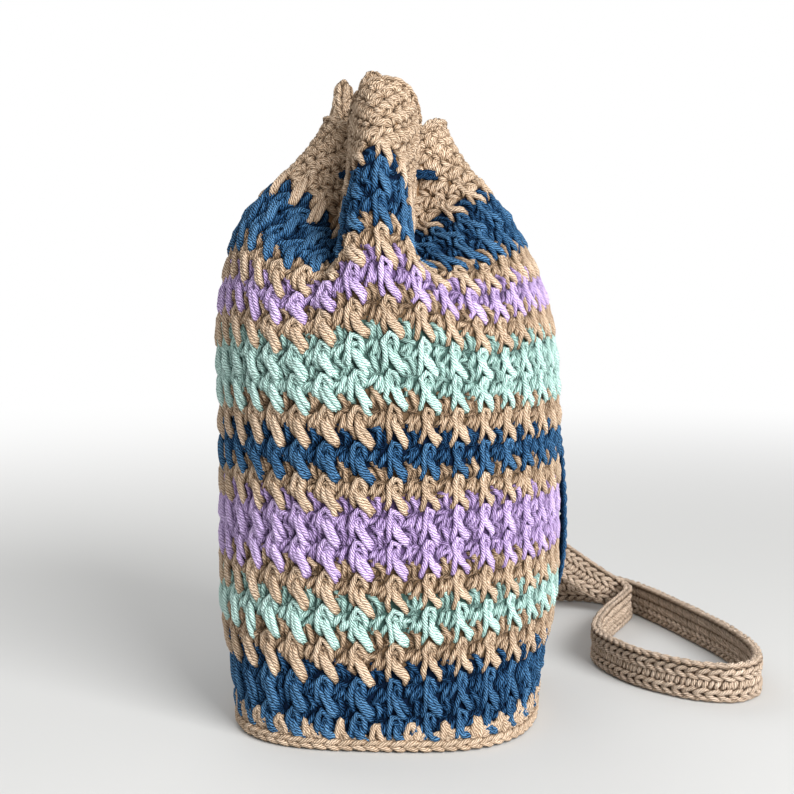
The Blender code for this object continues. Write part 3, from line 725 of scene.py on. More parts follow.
rim_columns = np.linspace(0, COLUMNS, RIM_POINTS)
rim_row = np.zeros(RIM_POINTS)
rim_depth = RIM_YARN + CHAIN_CREST * RIM_HIGH
rim_path, rim_up = on_cloth(rim_columns, rim_row, np.full(RIM_POINTS, RIM_PROUD - rim_depth))
rim_path[:, 2] = RIM_WIDE + RIM_YARN + RIM_ROOM
rim_up[:, 2] = 0
strands = chain(rim_path, rim_up, RIM_PITCH, RIM_WIDE, RIM_HIGH, RIM_YARN, closed=True) + towers()
corner_rise = rise_at(rim_columns, rim_row + CORNER_ROW)
for climb in STEP_CLIMBS:
    sunk = rim_depth + STEP_SUNK * (1 - corner_rise / np.max(corner_rise))
    step_path, step_up = on_cloth(rim_columns, STEP_ROW + climb * corner_rise, -sunk)
    strands += chain(step_path, step_up, RIM_PITCH, STEP_WIDE, RIM_HIGH, RIM_YARN, closed=True)
finished("base_rim", strands, TAN, "bag_yarn", "bag_body")

# The body: seventeen rows of post stitches in four colours. Each is a loop with its leg at the left, a
# stem and a tongue that slant down to the right out of it, a knuckle in it, and recessed strands
# between the columns. On the bag's left half the loops are wider and the tongues longer.
ROW_COLOURS = "BBTMTLLTBTMMTLTBB"
FIRST_SPLIT = 0.40
ROW_PITCH = 0.9794

# Strands of one stitch, as on the right half and as on the left: places given by columns to the
# right, rows up from the split and depth in millimetres below the face of the cloth, then how many
# points and sides the strand is drawn with.
LOOP = (
    ((-0.21, -0.54, 3.0), (-0.20, -0.41, 1.0), (-0.12, -0.16, 0.5), (-0.08, 0.10, 0.4),
     (-0.12, 0.38, 0.4), (-0.01, 0.62, 0.3), (0.13, 0.55, 0.5), (0.16, 0.36, 0.8),
     (0.12, 0.18, 1.3), (0.06, 0.06, 2.6)),
    ((0.06, -0.28, 3.2), (-0.04, -0.22, 1.5), (-0.17, -0.08, 0.7), (-0.22, 0.14, 0.3), (-0.17, 0.40, 0.2),
     (-0.01, 0.61, 0.2), (0.15, 0.52, 0.3), (0.24, 0.32, 0.5), (0.26, 0.12, 0.9), (0.23, -0.08, 2.8)),
    10, 6,
)
STEM = (
    ((0.06, 0.42, 2.6), (0.05, 0.28, 0.9), (0.03, 0.10, 0.1), (0.05, -0.06, -0.2), (0.14, -0.20, -0.3),
     (0.26, -0.35, 0.0), (0.31, -0.45, 1.0), (0.31, -0.55, 3.0)),
    ((-0.10, 0.38, 2.6), (-0.08, 0.25, 0.8), (-0.03, 0.10, -0.1), (0.08, -0.10, -0.5), (0.20, -0.29, -0.6),
     (0.31, -0.44, -0.2), (0.36, -0.53, 1.0), (0.36, -0.60, 3.0)),
    9, 6,
)
TONGUE = (
    ((0.06, 0.14, 2.4), (0.10, 0.03, 0.7), (0.17, -0.10, 0.3), (0.28, -0.23, 0.3), (0.34, -0.34, 0.8),
     (0.35, -0.46, 2.6)),
    ((0.09, 0.36, 2.6), (0.08, 0.24, 0.5), (0.13, 0.07, -0.4), (0.31, -0.20, -0.4), (0.42, -0.38, 0.5),
     (0.42, -0.49, 2.8)),
    8, 6,
)
KNUCKLE = (
    ((-0.08, 0.22, 2.4), (-0.04, 0.34, 1.1), (0.03, 0.39, 0.8), (0.09, 0.34, 1.1), (0.11, 0.24, 2.4)),
    ((-0.14, 0.16, 2.4), (-0.08, 0.33, 1.0), (0.03, 0.40, 0.7), (0.13, 0.33, 0.9), (0.18, 0.16, 2.2)),
    5, 5,
)

# The recessed strands are alike on both halves: three that arch down between the columns from the
# row above, a bridge under them and three that slant up to it. Each has its count of points.
RECESSED = (
    (((0.28, 1.10, 3.0), (0.40, 1.07, 1.5), (0.54, 0.95, 0.9), (0.63, 0.76, 0.9), (0.61, 0.56, 1.3),
      (0.52, 0.41, 2.6)), 6),
    (((0.26, 0.92, 3.0), (0.34, 0.88, 1.7), (0.43, 0.77, 1.2), (0.46, 0.61, 1.3), (0.40, 0.43, 2.6)), 5),
    (((0.64, 0.96, 3.0), (0.72, 0.90, 1.8), (0.78, 0.76, 1.4), (0.75, 0.58, 1.6), (0.66, 0.42, 2.8)), 5),
    (((0.20, 0.38, 2.8), (0.34, 0.45, 1.7), (0.50, 0.47, 1.5), (0.66, 0.46, 1.7), (0.80, 0.40, 2.8)), 4),
    (((0.25, 0.06, 3.0), (0.28, 0.14, 1.3), (0.38, 0.26, 0.7), (0.49, 0.38, 1.1), (0.54, 0.45, 2.8)), 5),
    (((0.39, -0.10, 3.0), (0.43, -0.01, 1.2), (0.54, 0.17, 0.6), (0.66, 0.36, 1.1), (0.71, 0.46, 2.8)), 5),
    (((0.57, -0.16, 3.0), (0.61, -0.06, 1.3), (0.71, 0.13, 0.8), (0.81, 0.32, 1.3), (0.85, 0.43, 2.8)), 5),
)
RECESSED_SIDES = 5
FRONT_STRANDS = (LOOP, STEM, TONGUE, KNUCKLE)
STITCH = FRONT_STRANDS + tuple((places, places, count, RECESSED_SIDES) for places, count in RECESSED)

# The strands, by number, that are drawn out on the left half, and those that the collar's first legs
# are made of.
DRAWN_OUT = (1, 2)
LEGS = (0, 1, 2)
JITTER = (0.027, 0.027, 0.00018)
RECESS_JITTER = (0.045, 0.045, 0.00030)
LEG_UNEVEN = 0.08
KIND_CHANGE = 2.2
TONGUE_GROWTH = 0.45
LEFT_GROWTH = 0.10
LOWEST_LEGS = 0.44
FLOOR_ROOM = 0.0004


def stitches(rows, parts=range(len(STITCH)), legs_down=1.0):
    """Strands of whole rows of stitches: the places of a strand go from the right half's to the left
    half's by a clipped sine of the turn round the bag, each is moved a little at random, and the
    line through them is laid on the cloth and made a tube. What is below the split is drawn out or
    in by legs_down, and nothing goes through the floor."""
    splits = FIRST_SPLIT + np.asarray(rows) * ROW_PITCH
    splits, centres = (grid.ravel() for grid in np.meshgrid(splits, np.arange(COLUMNS) + CENTRE_COLUMN))
    side = np.sin(2 * math.pi * centres / COLUMNS)
    left = np.clip(0.5 - KIND_CHANGE * side, 0, 1)[:, None, None]
    longer = 1 + TONGUE_GROWTH * np.clip(-side, 0, 1) ** 2
    radius = YARN_RADIUS * (1 + LEFT_GROWTH * left[:, 0, 0])
    made = []
    for number in parts:
        on_right, on_left, count, sides = STITCH[number]
        places = np.array(on_right) * (1 - left) + np.array(on_left) * left
        drawn = longer * legs_down if number in DRAWN_OUT else np.full(len(centres), legs_down)
        drawn = drawn[:, None] * (1 + LEG_UNEVEN * chance.standard_normal((len(centres), 1)))
        places[:, :, 1] *= np.where(places[:, :, 1] < 0, drawn, 1)
        jitter = JITTER if number < len(FRONT_STRANDS) else RECESS_JITTER
        line = through(moved(places, jitter), count)
        row = splits[:, None] + line[:, :, 1] * ROW_PITCH
        out = line[:, :, 2] - radius[:, None]
        points, outward = on_rows(centres[:, None] + line[:, :, 0], row, out)
        points[:, :, 2] = np.maximum(points[:, :, 2], radius[:, None] + FLOOR_ROOM)
        made.append(strand(points, outward, radius, sides, out))
    return made


lowest_legs = LOWEST_LEGS - rise_at(np.arange(COLUMNS) + CENTRE_COLUMN, np.full(COLUMNS, CORNER_ROW))
for name, material in (("blue", BLUE), ("tan", TAN), ("mint", MINT), ("lilac", LILAC)):
    rows = [row for row, letter in enumerate(ROW_COLOURS) if letter == name[0].upper()]
    strands = []
    if 0 in rows:
        rows.remove(0)
        strands += stitches([0], legs_down=lowest_legs)
    strands += stitches(rows)
    finished("stitches_" + name, strands, material, "bag_yarn", "bag_body")

# The ground of the cloth, which shows in the gaps between the strands and inside the mouth: one
# closed skin from the middle of the base to the mouth, a little under the face of the stitches. Its
# colours are the yarns' colours made dark, a painted shade for those gaps.
GROUND_ROWS = (0.0, 16.6, 17.6, 21.0)
GROUND_DEPTHS = (0.0026, 0.0026, 0.0016, 0.0016)
GROUND_THICKNESSES = (0.0011, 0.0011, 0.0020, 0.0020)
GROUND_FROM = 0.12
GROUND_TO = TOP_ROW - 0.06
GROUND_AROUND = COLUMNS * 4
GROUND_UP = 72
BASE_SHARES = (0.97, 0.75, 0.5, 0.25)
BASE_TOP = FLOOR_ROOM + GROUND_THICKNESSES[0]
COLOUR_SHIFT = 0.02


def ground_skin():
    """The skin's outer face is the cloth moved in by the ground's depth, and its inner face the same
    moved in further. The base is the lowest ring drawn in to the middle by shares. Returns the
    points, the faces between the rings, those of the base's two middles and the row of each ring."""
    column = np.linspace(-COLUMNS / 2, COLUMNS / 2, GROUND_AROUND, endpoint=False)
    row = np.linspace(GROUND_FROM, GROUND_TO, GROUND_UP)
    column, row = np.meshgrid(column, row)
    depth = np.interp(row, GROUND_ROWS, GROUND_DEPTHS)
    faces_out, _ = on_cloth(column, row, -depth)
    faces_in, _ = on_cloth(column, row, -depth - np.interp(row, GROUND_ROWS, GROUND_THICKNESSES))
    shares = np.array(BASE_SHARES)[:, None, None]
    base_out = faces_out[0] * shares
    base_out[..., 2] = FLOOR_ROOM
    base_in = faces_in[0] * shares
    base_in[..., 2] = BASE_TOP
    faces_in = np.concatenate([base_in[::-1], np.maximum(faces_in, [-1, -1, BASE_TOP])])
    rings = np.concatenate([base_out[::-1], faces_out, faces_in[::-1]])
    points = np.concatenate([rings.reshape(-1, 3), [[0, 0, FLOOR_ROOM], [0, 0, BASE_TOP]]])
    count = GROUND_AROUND
    index = np.arange(len(rings) * count).reshape(len(rings), count)
    after = np.roll(index, -1, axis=1)
    quads = np.stack([index[:-1], after[:-1], after[1:], index[1:]], axis=-1).reshape(-1, 4)
    bottom = np.stack([np.full(count, len(points) - 2), after[0], index[0]], axis=1)
    inside = np.stack([np.full(count, len(points) - 1), index[-1], after[-1]], axis=1)
    below = np.full(len(BASE_SHARES), -1.0)
    ring_rows = np.concatenate([below, row[:, 0], row[::-1, 0], below])
    return points, quads, np.concatenate([bottom, inside]), ring_rows


GROUND_SCALE = 420.0
GROUND_DARKEST = 0.45
GROUND_TONES = (0.35, 0.65)
GROUND_BUMP = 0.001
GROUND_ROUGHNESS = 0.9
GROUND_GLOSS = 0.05


def painted_shade_ground(name, colour):
    """The ground in a dark colour of one yarn, painted shade: noise between that colour and a darker tone
    of it, and a bump of the same.
    """
    made = bpy.data.materials.new(name)
    nodes, links = with_nodes(made)
    shader = nodes["Principled BSDF"]
    noise = noise_at(nodes, links, nodes.new("ShaderNodeTexCoord").outputs["Object"], GROUND_SCALE, 3.0)
    ramp = nodes.new("ShaderNodeValToRGB")
    darker = [GROUND_DARKEST * channel for channel in colour]
    for element, tone, position in zip(ramp.color_ramp.elements, (darker, colour), GROUND_TONES):
        element.color = (*tone, 1)
        element.position = position
    links.new(noise, ramp.inputs[0])
    links.new(ramp.outputs[0], shader.inputs["Base Color"])
    links.new(bumped(nodes, links, noise, GROUND_BUMP), shader.inputs["Normal"])
    shader.inputs["Roughness"].default_value = GROUND_ROUGHNESS
    shader.inputs["Specular IOR Level"].default_value = GROUND_GLOSS
    return made


# Painted shade: each ground's colour is its yarn's colour made dark.
GROUNDS = (
    ("T", painted_shade_ground("tan ground", (0.16, 0.10, 0.055))),
    ("B", painted_shade_ground("blue ground", (0.004, 0.012, 0.035))),
    ("M", painted_shade_ground("mint ground", (0.07, 0.14, 0.12))),
    ("L", painted_shade_ground("lilac ground", (0.13, 0.08, 0.19))),
    ("C", painted_shade_ground("collar ground", (0.25, 0.145, 0.075))),
)
points, quads, fans, ring_rows = ground_skin()
mesh = bpy.data.meshes.new("ground")
mesh.from_pydata(points.tolist(), [], quads.tolist() + fans.tolist())
mesh.shade_smooth()
for _, material in GROUNDS:
    mesh.materials.append(material)

# Each face takes the colour of the row that it is behind: tan below the first row, and the collar's
# above the last.
column = np.linspace(-COLUMNS / 2, COLUMNS / 2, GROUND_AROUND, endpoint=False)
column, middle = np.meshgrid(column, (ring_rows[:-1] + ring_rows[1:]) / 2)
band = np.floor((middle - rise_at(column, middle) - FIRST_SPLIT) / ROW_PITCH + COLOUR_SHIFT).astype(int)
grounds = "".join(letter for letter, _ in GROUNDS)
by_band = np.array([grounds.index(letter) for letter in "T" + ROW_COLOURS + "C"])
slots = np.concatenate([by_band[np.clip(band, -1, BODY_ROWS).ravel() + 1], np.zeros(len(fans), int)])
mesh.polygons.foreach_set("material_index", slots.astype(np.int32))
ground = in_scene("ground", mesh)
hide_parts("bag_body")
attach(ground, "root")

# The collar: plain single crochet in tan, worked on from the blue. A stitch shows two legs that fan
# up from a dark hole, a short strand between them and its head across them, and the first legs reach
# down over the blue.
COLLAR_STITCHES = 43
COLLAR_ROWS = 8
COLLAR_FIRST = 17.15
COLLAR_YARN = 0.00118
COLLAR_FINENESS = 6
INNER_YARN = 0.0011
INNER_FINENESS = 5
CROCHET = (
    ((-0.03, 0.04, 2.6), (-0.10, 0.18, 0.8), (-0.23, 0.46, 0.0), (-0.37, 0.76, 0.6), (-0.46, 0.93, 2.4)),
    ((0.03, 0.04, 2.6), (0.10, 0.18, 0.8), (0.23, 0.46, 0.1), (0.37, 0.76, 0.7), (0.46, 0.93, 2.4)),
    ((0.05, 0.00, 2.6), (0.22, 0.05, 0.7), (0.50, 0.08, 0.1), (0.78, 0.05, 0.7), (0.95, 0.00, 2.4)),
    ((0.22, 0.24, 2.4), (0.34, 0.34, 0.8), (0.50, 0.38, 0.3), (0.66, 0.34, 0.8), (0.78, 0.24, 2.4)),
    ((0.00, 0.30, 2.4), (0.00, 0.45, 0.9), (0.01, 0.65, 0.5), (0.00, 0.82, 1.0), (0.00, 0.95, 2.6)),
)
CROCHET_JITTER = (0.045, 0.045, 0.00022)
# The depth at which the collar's painted shade is darkest.
COLLAR_DEEP = 0.0024
INNER_ROWS = 5
INNER_OFF = 0.0014
CROCHET_SINK = 0.45


def single_crochet(rows, inside):
    """Strands of some of the collar's rows, each row a mirror image of the last and half a stitch on.
    They are laid on the cloth's face, or inside the collar on its inner face, with their depths
    drawn less deep than their painted shade takes them to be. Each has as many points and sides as the
    fineness says."""
    up = (TOP_ROW - COLLAR_FIRST) / COLLAR_ROWS
    rows, places_round = (grid.ravel() for grid in np.meshgrid(rows, np.arange(COLLAR_STITCHES)))
    odd = rows % 2
    mirrored = np.where(odd[:, None, None], (-1.0, 1.0, 1.0), 1.0)
    yarn, fineness = (INNER_YARN, INNER_FINENESS) if inside else (COLLAR_YARN, COLLAR_FINENESS)
    made = []
    for places in CROCHET:
        line = through(moved(places * mirrored, CROCHET_JITTER), fineness)
        column = ((places_round + 0.5 * odd)[:, None] + line[:, :, 0]) * COLUMNS / COLLAR_STITCHES
        row = COLLAR_FIRST + (rows[:, None] + line[:, :, 1]) * up
        sunk = CROCHET_SINK * line[:, :, 2]
        lies = yarn - FABRIC_THICKNESS - INNER_OFF - sunk if inside else sunk - yarn
        points, outward = on_rows(column, row, lies)
        outward = -outward if inside else outward
        made.append(strand(points, outward, yarn, fineness, line[:, :, 2] - yarn, COLLAR_DEEP))
    return made


# The mouth's edge is a chain that lies on the top of the collar and leans outwards.
MOUTH_YARN = 0.00112
MOUTH_WIDE = 0.0015
MOUTH_HIGH = 0.0009
MOUTH_PITCH = 0.0050
MOUTH_POINTS = 601
MOUTH_ROW = TOP_ROW - 0.10
ROW_BELOW = TOP_ROW - 0.5
MOUTH_DEPTH = 0.0017
MOUTH_LEAN = 0.7
mouth_columns = np.linspace(0, COLUMNS, MOUTH_POINTS)
mouth_depth = np.full(MOUTH_POINTS, -MOUTH_DEPTH)
mouth_path, mouth_out = on_cloth(mouth_columns, np.full(MOUTH_POINTS, MOUTH_ROW), mouth_depth)
below, _ = on_cloth(mouth_columns, np.full(MOUTH_POINTS, ROW_BELOW), mouth_depth)
mouth_up = unit(mouth_path - below) + MOUTH_LEAN * mouth_out
strands = single_crochet(np.arange(COLLAR_ROWS), inside=False)
strands += stitches([BODY_ROWS], parts=LEGS)
strands += chain(mouth_path, mouth_up, MOUTH_PITCH, MOUTH_WIDE, MOUTH_HIGH, MOUTH_YARN, closed=True)
finished("collar", strands, TAN, "bag_yarn", "bag_body")
strands = single_crochet(np.arange(COLLAR_ROWS - INNER_ROWS, COLLAR_ROWS), inside=True)
finished("collar_inside", strands, TAN, "bag_yarn", "bag_body")

# The drawstring: a blue chain cord round the neck, outside in the valleys and inside the pleats. Its
# ends come out beside the wide back pleat, go down the valleys and hang against the wall, each with
# an overhand knot. It is drawn as the threaded part, two tails and two knots, as one line.
CORD_DIAMETER = 0.0046
CORD_YARN = 0.0011
CORD_PITCH = 0.0054
CORD_HIGH = 0.0011
CORD_ROW = 0.55
SEAT_GAP = 0.0003
LIE_GAP = 0.0012
KNOT_DIAMETER = 0.0105
KNOT_LENGTH = 0.012
RING_OFF = 0.0012
RING_POINTS = 13
CORD_OFF = CORD_DIAMETER / 2 + LIE_GAP

# How the cord leaves the ring: degrees before the valley, out from the ring and up. Then down the
# valley, in rows and out from the wall, and on over the wall: degrees, rows and out from its lie. A
# tail is its own piece from the valley's fourth point on.
EXIT_BEND = ((40, 0.0, 0.0), (24, 0.0002, -0.0006), (10, 0.0012, -0.0034))
VALLEY_RUN = ((18.05, 0.0066), (17.4, 0.0075), (16.6, 0.0090), (15.6, 0.0095), (14.7, 0.0090))
TAIL_EXIT = 3
RIGHT_TAIL = (
    (-1.5, 13.5, 0.0010), (-3.0, 12.3, 0.0002), (-3.5, 11.0, 0.0), (-5.0, 9.8, 0.0), (-8.5, 8.7, 0.0),
    (-13.0, 7.6, 0.0), (-16.4, 6.4, 0.0), (-16.6, 5.3, 0.0), (-14.0, 4.3, 0.0), (-8.5, 3.5, 0.0),
    (-1.0, 2.9, 0.0), (7.0, 2.5, 0.0004), (14.0, 2.3, 0.0016),
)
BACK_TAIL = (
    (3.5, 13.5, 0.0010), (9.0, 12.3, 0.0002), (16.0, 10.8, 0.0), (21.0, 9.2, 0.0), (24.0, 7.6, 0.0),
    (25.0, 6.0, 0.0003), (24.5, 4.6, 0.0014),
)
TANGENT_STEP = 0.001
CURVE_STEPS = 40
CORD_SPACING = 0.001


def valley_degrees(number):
    """The angle of the valley after the pleat of that number."""
    parts = sum(width for _, width, _ in PLEATS[: number + 1]) - PLEATS[0][1] / 2
    return math.degrees(FRONT_ANGLE) + parts * 360 / PLEAT_UNITS


def wall_point(degrees, rows, out):
    """A point that stands a distance out of the wall, along the wall's own direction there."""
    angle, step = math.radians(degrees), TANGENT_STEP
    turned = [angle, angle - step, angle + step, angle, angle]
    at = wall(turned, [rows, rows, rows, rows - step, rows + step])
    return at[0] + out * unit(np.cross(at[2] - at[1], at[4] - at[3]))


def along(route, spacing, first=0, last=-1):
    """Points a given spacing apart along a smooth curve through the route's points (Catmull-Rom),
    from the first of the named route points to the last."""
    route = np.asarray(route, float)
    fine = through(route[None], (len(route) - 1) * CURVE_STEPS + 1)[0]
    travelled = distances(fine[:, :3])
    start, end = travelled[::CURVE_STEPS][[first, last]]
    at = np.linspace(start, end, max(2, round((end - start) / spacing) + 1))
    return np.stack([np.interp(at, travelled, fine[:, k]) for k in range(fine.shape[1])], axis=1)


RIGHT_VALLEY = valley_degrees(1) - 360
BACK_VALLEY = valley_degrees(2) - 360
RING_RADIUS = NECK_RADIUS + CORD_DIAMETER / 2 + RING_OFF
RING_HEIGHT = float(wall(math.radians(valley_degrees(0)), collar_rows(CORD_ROW))[2])


def valley_point(degrees, rows, out):
    """A point that stands a distance out of the wall, level and straight away from the axis."""
    angle = math.radians(degrees)
    return wall(angle, rows) + out * np.array([math.cos(angle), math.sin(angle), 0.0])


def ring_point(degrees, out=0.0, lift=0.0):
    """A point of the level ring in which the cord lies round the neck, or out and up from it."""
    angle = math.radians(degrees)
    radius = RING_RADIUS + out
    return np.array([radius * math.cos(angle), radius * math.sin(angle), RING_HEIGHT + lift])


def drawstring_route():
    """The whole drawstring's route points, and the places in the list where its tails leave: up the
    right tail, round the ring the long way, and down the back tail."""
    tails, bends = [], []
    for valley, side, places in ((RIGHT_VALLEY, -1, RIGHT_TAIL), (BACK_VALLEY, 1, BACK_TAIL)):
        tails.append([valley_point(valley, rows, out) for rows, out in VALLEY_RUN])
        tails[-1] += [wall_point(valley + turn, rows, CORD_OFF + out) for turn, rows, out in places]
        bends.append([ring_point(valley + side * turn, out, lift) for turn, out, lift in EXIT_BEND])
    start, end = RIGHT_VALLEY - 2 * EXIT_BEND[0][0], BACK_VALLEY - 360 + 2 * EXIT_BEND[0][0]
    middle = [ring_point(degrees) for degrees in np.linspace(start, end, RING_POINTS)]
    route = tails[0][::-1] + bends[0][::-1] + middle + bends[1] + tails[1]
    right_exit = len(tails[0]) - 1 - TAIL_EXIT
    return route, right_exit, len(route) - len(tails[1]) + TAIL_EXIT


def away_from_axis(path):
    """Level directions from the bag's axis to the points of a path."""
    return unit(path * [1.0, 1.0, 0.0])


def cord_chain(path, up):
    """The cord's own chain, as wide as the cord."""
    return chain(path, up, CORD_PITCH, CORD_DIAMETER / 2 - CORD_YARN, CORD_HIGH, CORD_YARN)


# Painted shade: the threaded part's tones are darkened, for the shade of the pleats it runs through.
THREADED_SHADE = 0.45
KNOT_POINTS = 121
KNOT_YARN = 0.00095
KNOT_ROOM = 0.0019
KNOT_FLATNESS = 0.75
KNOT_PITCH = 0.0042
KNOT_WIDE = 0.0009
KNOT_HIGH = 0.0007


def knot_strands(tip, ahead):
    """An overhand knot: the chain along a trefoil, as long as the knot and as wide, that begins
    where the tail ends. The trefoil is sin t + 2 sin 2t along, cos t - 2 cos 2t across and -sin 3t
    through."""
    aside = unit(np.cross(ahead, [0.0, 0.0, 1.0]))
    third = np.cross(ahead, aside)
    t = np.linspace(0, 2 * math.pi, KNOT_POINTS)
    reach, width = KNOT_LENGTH / 2 - KNOT_ROOM, KNOT_DIAMETER / 2 - KNOT_ROOM
    x = (np.sin(t) + 2 * np.sin(2 * t)) / 3 * reach
    y = (np.cos(t) - 2 * np.cos(2 * t)) / 3 * width
    z = -np.sin(3 * t) * width * KNOT_FLATNESS
    from_middle = x[:, None] * ahead + y[:, None] * aside + z[:, None] * third
    path = tip + ahead * (SEAT_GAP + KNOT_LENGTH / 2) + from_middle
    return chain(path, unit(from_middle), KNOT_PITCH, KNOT_WIDE, KNOT_HIGH, KNOT_YARN, closed=True)


route, right_exit, back_exit = drawstring_route()
threaded = along(route, CORD_SPACING, right_exit, back_exit)
strands = cord_chain(threaded, away_from_axis(threaded))
# The threaded part darkened as painted shade.
strands = [(rings, far, THREADED_SHADE * tone) for rings, far, tone in strands]
finished("drawstring_threaded", strands, BLUE, "cord_yarn", "drawstring")
right_path = along(route, CORD_SPACING, 0, right_exit)[::-1]
back_path = along(route, CORD_SPACING, back_exit, -1)
for name, path in (("right", right_path), ("back", back_path)):
    strands = knot_strands(path[-1], unit(path[-1] - path[-3]))
    knot = finished("knot_" + name, strands, BLUE, "cord_yarn", "drawstring_knot_" + name)
    strands = cord_chain(path, away_from_axis(path))
    tail = finished("tail_" + name, strands, BLUE, "cord_yarn", "drawstring_tail_" + name)

# The strap: a flat tan band of single crochet, sewn on below the collar and at the base, with its
# slack on edge on the floor. Its outer face has a chain on each side of a sunk row of posts, its
# inner face two rows of posts over a chain, and both its edges are chains.
STRAP_WIDTH = 0.0175
STRAP_THICKNESS = 0.005
STRAP_YARN = 0.0011
POST_YARN = 0.00125
STRAP_PITCH = 0.0052
STRAP_HIGH = 0.0010
STRAP_SPACING = 0.002
STRAP_TOP_DEGREES = (RIGHT_VALLEY + BACK_VALLEY) / 2
SEWN_OFF = STRAP_THICKNESS / 2 + SEAT_GAP
STRAP_OFF = STRAP_THICKNESS / 2 + LIE_GAP

# The route: rows down the wall, 1 where the strap is free of it; then the free slack's places past
# the body's radius to the right and back, its height and its share of lying flat; then the foot.
STRAP_TOP = ((14.2, 0), (13.3, 0), (12.2, 1), (11.0, 1), (9.6, 1))
STRAP_FREE = (
    (-0.0305, 0.0070, 0.102, 0.90), (-0.0225, 0.0190, 0.078, 0.65), (-0.0085, 0.0410, 0.053, 0.35),
    (0.0190, 0.0700, 0.0300, 0.10), (0.0400, 0.0765, 0.0150, 0.0), (0.0500, 0.0745, 0.0102, 0.0),
    (0.0525, 0.0640, 0.0, 0.0), (0.0460, 0.0460, 0.0, 0.0), (0.0350, 0.0200, 0.0, 0.0),
    (0.0270, -0.0050, 0.0, 0.0), (0.0245, -0.0225, 0.0, 0.0), (0.0285, -0.0400, 0.0, 0.0),
    (0.0375, -0.0590, 0.0, 0.0), (0.0495, -0.0730, 0.0, 0.0), (0.0630, -0.0830, 0.0, 0.0),
    (0.0770, -0.0850, 0.0, 0.0), (0.0875, -0.0760, 0.0, 0.0), (0.0920, -0.0570, 0.0, 0.0),
    (0.0910, -0.0350, 0.0, 0.0), (0.0865, -0.0110, 0.0, 0.0), (0.0800, 0.0120, 0.0, 0.0),
    (0.0710, 0.0410, 0.0, 0.0), (0.0605, 0.0700, 0.0, 0.0), (0.0500, 0.0885, 0.0, 0.0),
    (0.0380, 0.1000, 0.0, 0.0), (0.0230, 0.1030, 0.0, 0.0), (0.0050, 0.0960, 0.0, 0.0),
    (-0.0140, 0.0780, 0.0, 0.0), (-0.0330, 0.0480, 0.0, 0.0), (-0.0480, 0.0220, 0.0, 0.0),
    (-0.0565, 0.0100, 0.0, 0.0),
)
STRAP_FOOT_DEGREES = (83.0, 90.0, 98.0)

# Rows of stitches on a face: which face, how far across the band, and for posts also how far their
# heads are across and how many pitches they lean.
FACE_CHAINS = ((1, -0.0054), (1, 0.0036), (-1, -0.0054))
FACE_CHAIN_WIDE = 0.0020
FACE_CHAIN_PROUD = 0.0002
EDGE_CHAIN_WIDE = 0.0015
FACE_POSTS = ((1, -0.0030, 0.0012, 0.9), (-1, -0.0034, 0.0016, 0.4), (-1, 0.0012, 0.0066, 0.4))
POST_SUNK = 0.0004
POST_HIGH = 0.0009

# A sewn end: a short chain across the band, and four seam stitches over its edge, each given by how
# far along the chain, out from the face and past the end it goes.
END_HALF_WIDTH = 0.0066
END_POINTS = 12
END_SUNK = 0.0018
END_PITCH = 0.0046
END_WIDE = 0.0014
SEAM_PLACES = (-0.0062, -0.0021, 0.0021, 0.0062)
SEAM = (
    (0.0, 0.0029, -0.0052), (0.0002, 0.0033, -0.0022), (0.0006, 0.0022, 0.0006),
    (0.0008, -0.0008, 0.0020),
)
SEAM_JITTER = (0.0002, 0.0001, 0.0003)
SEAM_POINTS = 6
# The flat core under the strands: a dark band, its tone a painted shade for the gaps between them.
CORE_HALF_WIDTH = 0.0072
CORE_HALF_THICKNESS = 0.0009
CORE_SHADE = 0.25


def strap_line():
    """The strap's middle line, the direction of its width and that of its outer face."""
    top = [
        (*wall_point(STRAP_TOP_DEGREES, rows, STRAP_OFF if free else SEWN_OFF), 1.0)
        for rows, free in STRAP_TOP
    ]
    on_edge = STRAP_WIDTH / 2 + SEAT_GAP
    free = [
        (BODY_RADIUS + side, BODY_RADIUS + back, max(height, on_edge), over)
        for side, back, height, over in STRAP_FREE
    ]
    foot = [wall_point(degrees, 0.0, RIM_PROUD + SEWN_OFF) for degrees in STRAP_FOOT_DEGREES]
    line = along(top + free + [(x, y, on_edge, 0.0) for x, y, _ in foot], STRAP_SPACING)
    points, lies_over = line[:, :3], line[:, 3:]
    side = math.radians(STRAP_TOP_DEGREES - 90)
    ahead = unit(np.gradient(points, axis=0))
    across = (1 - lies_over) * [0.0, 0.0, 1.0] + lies_over * [math.cos(side), math.sin(side), 0.0]
    across = square_to(across, ahead)
    return points, across, np.cross(ahead, across)


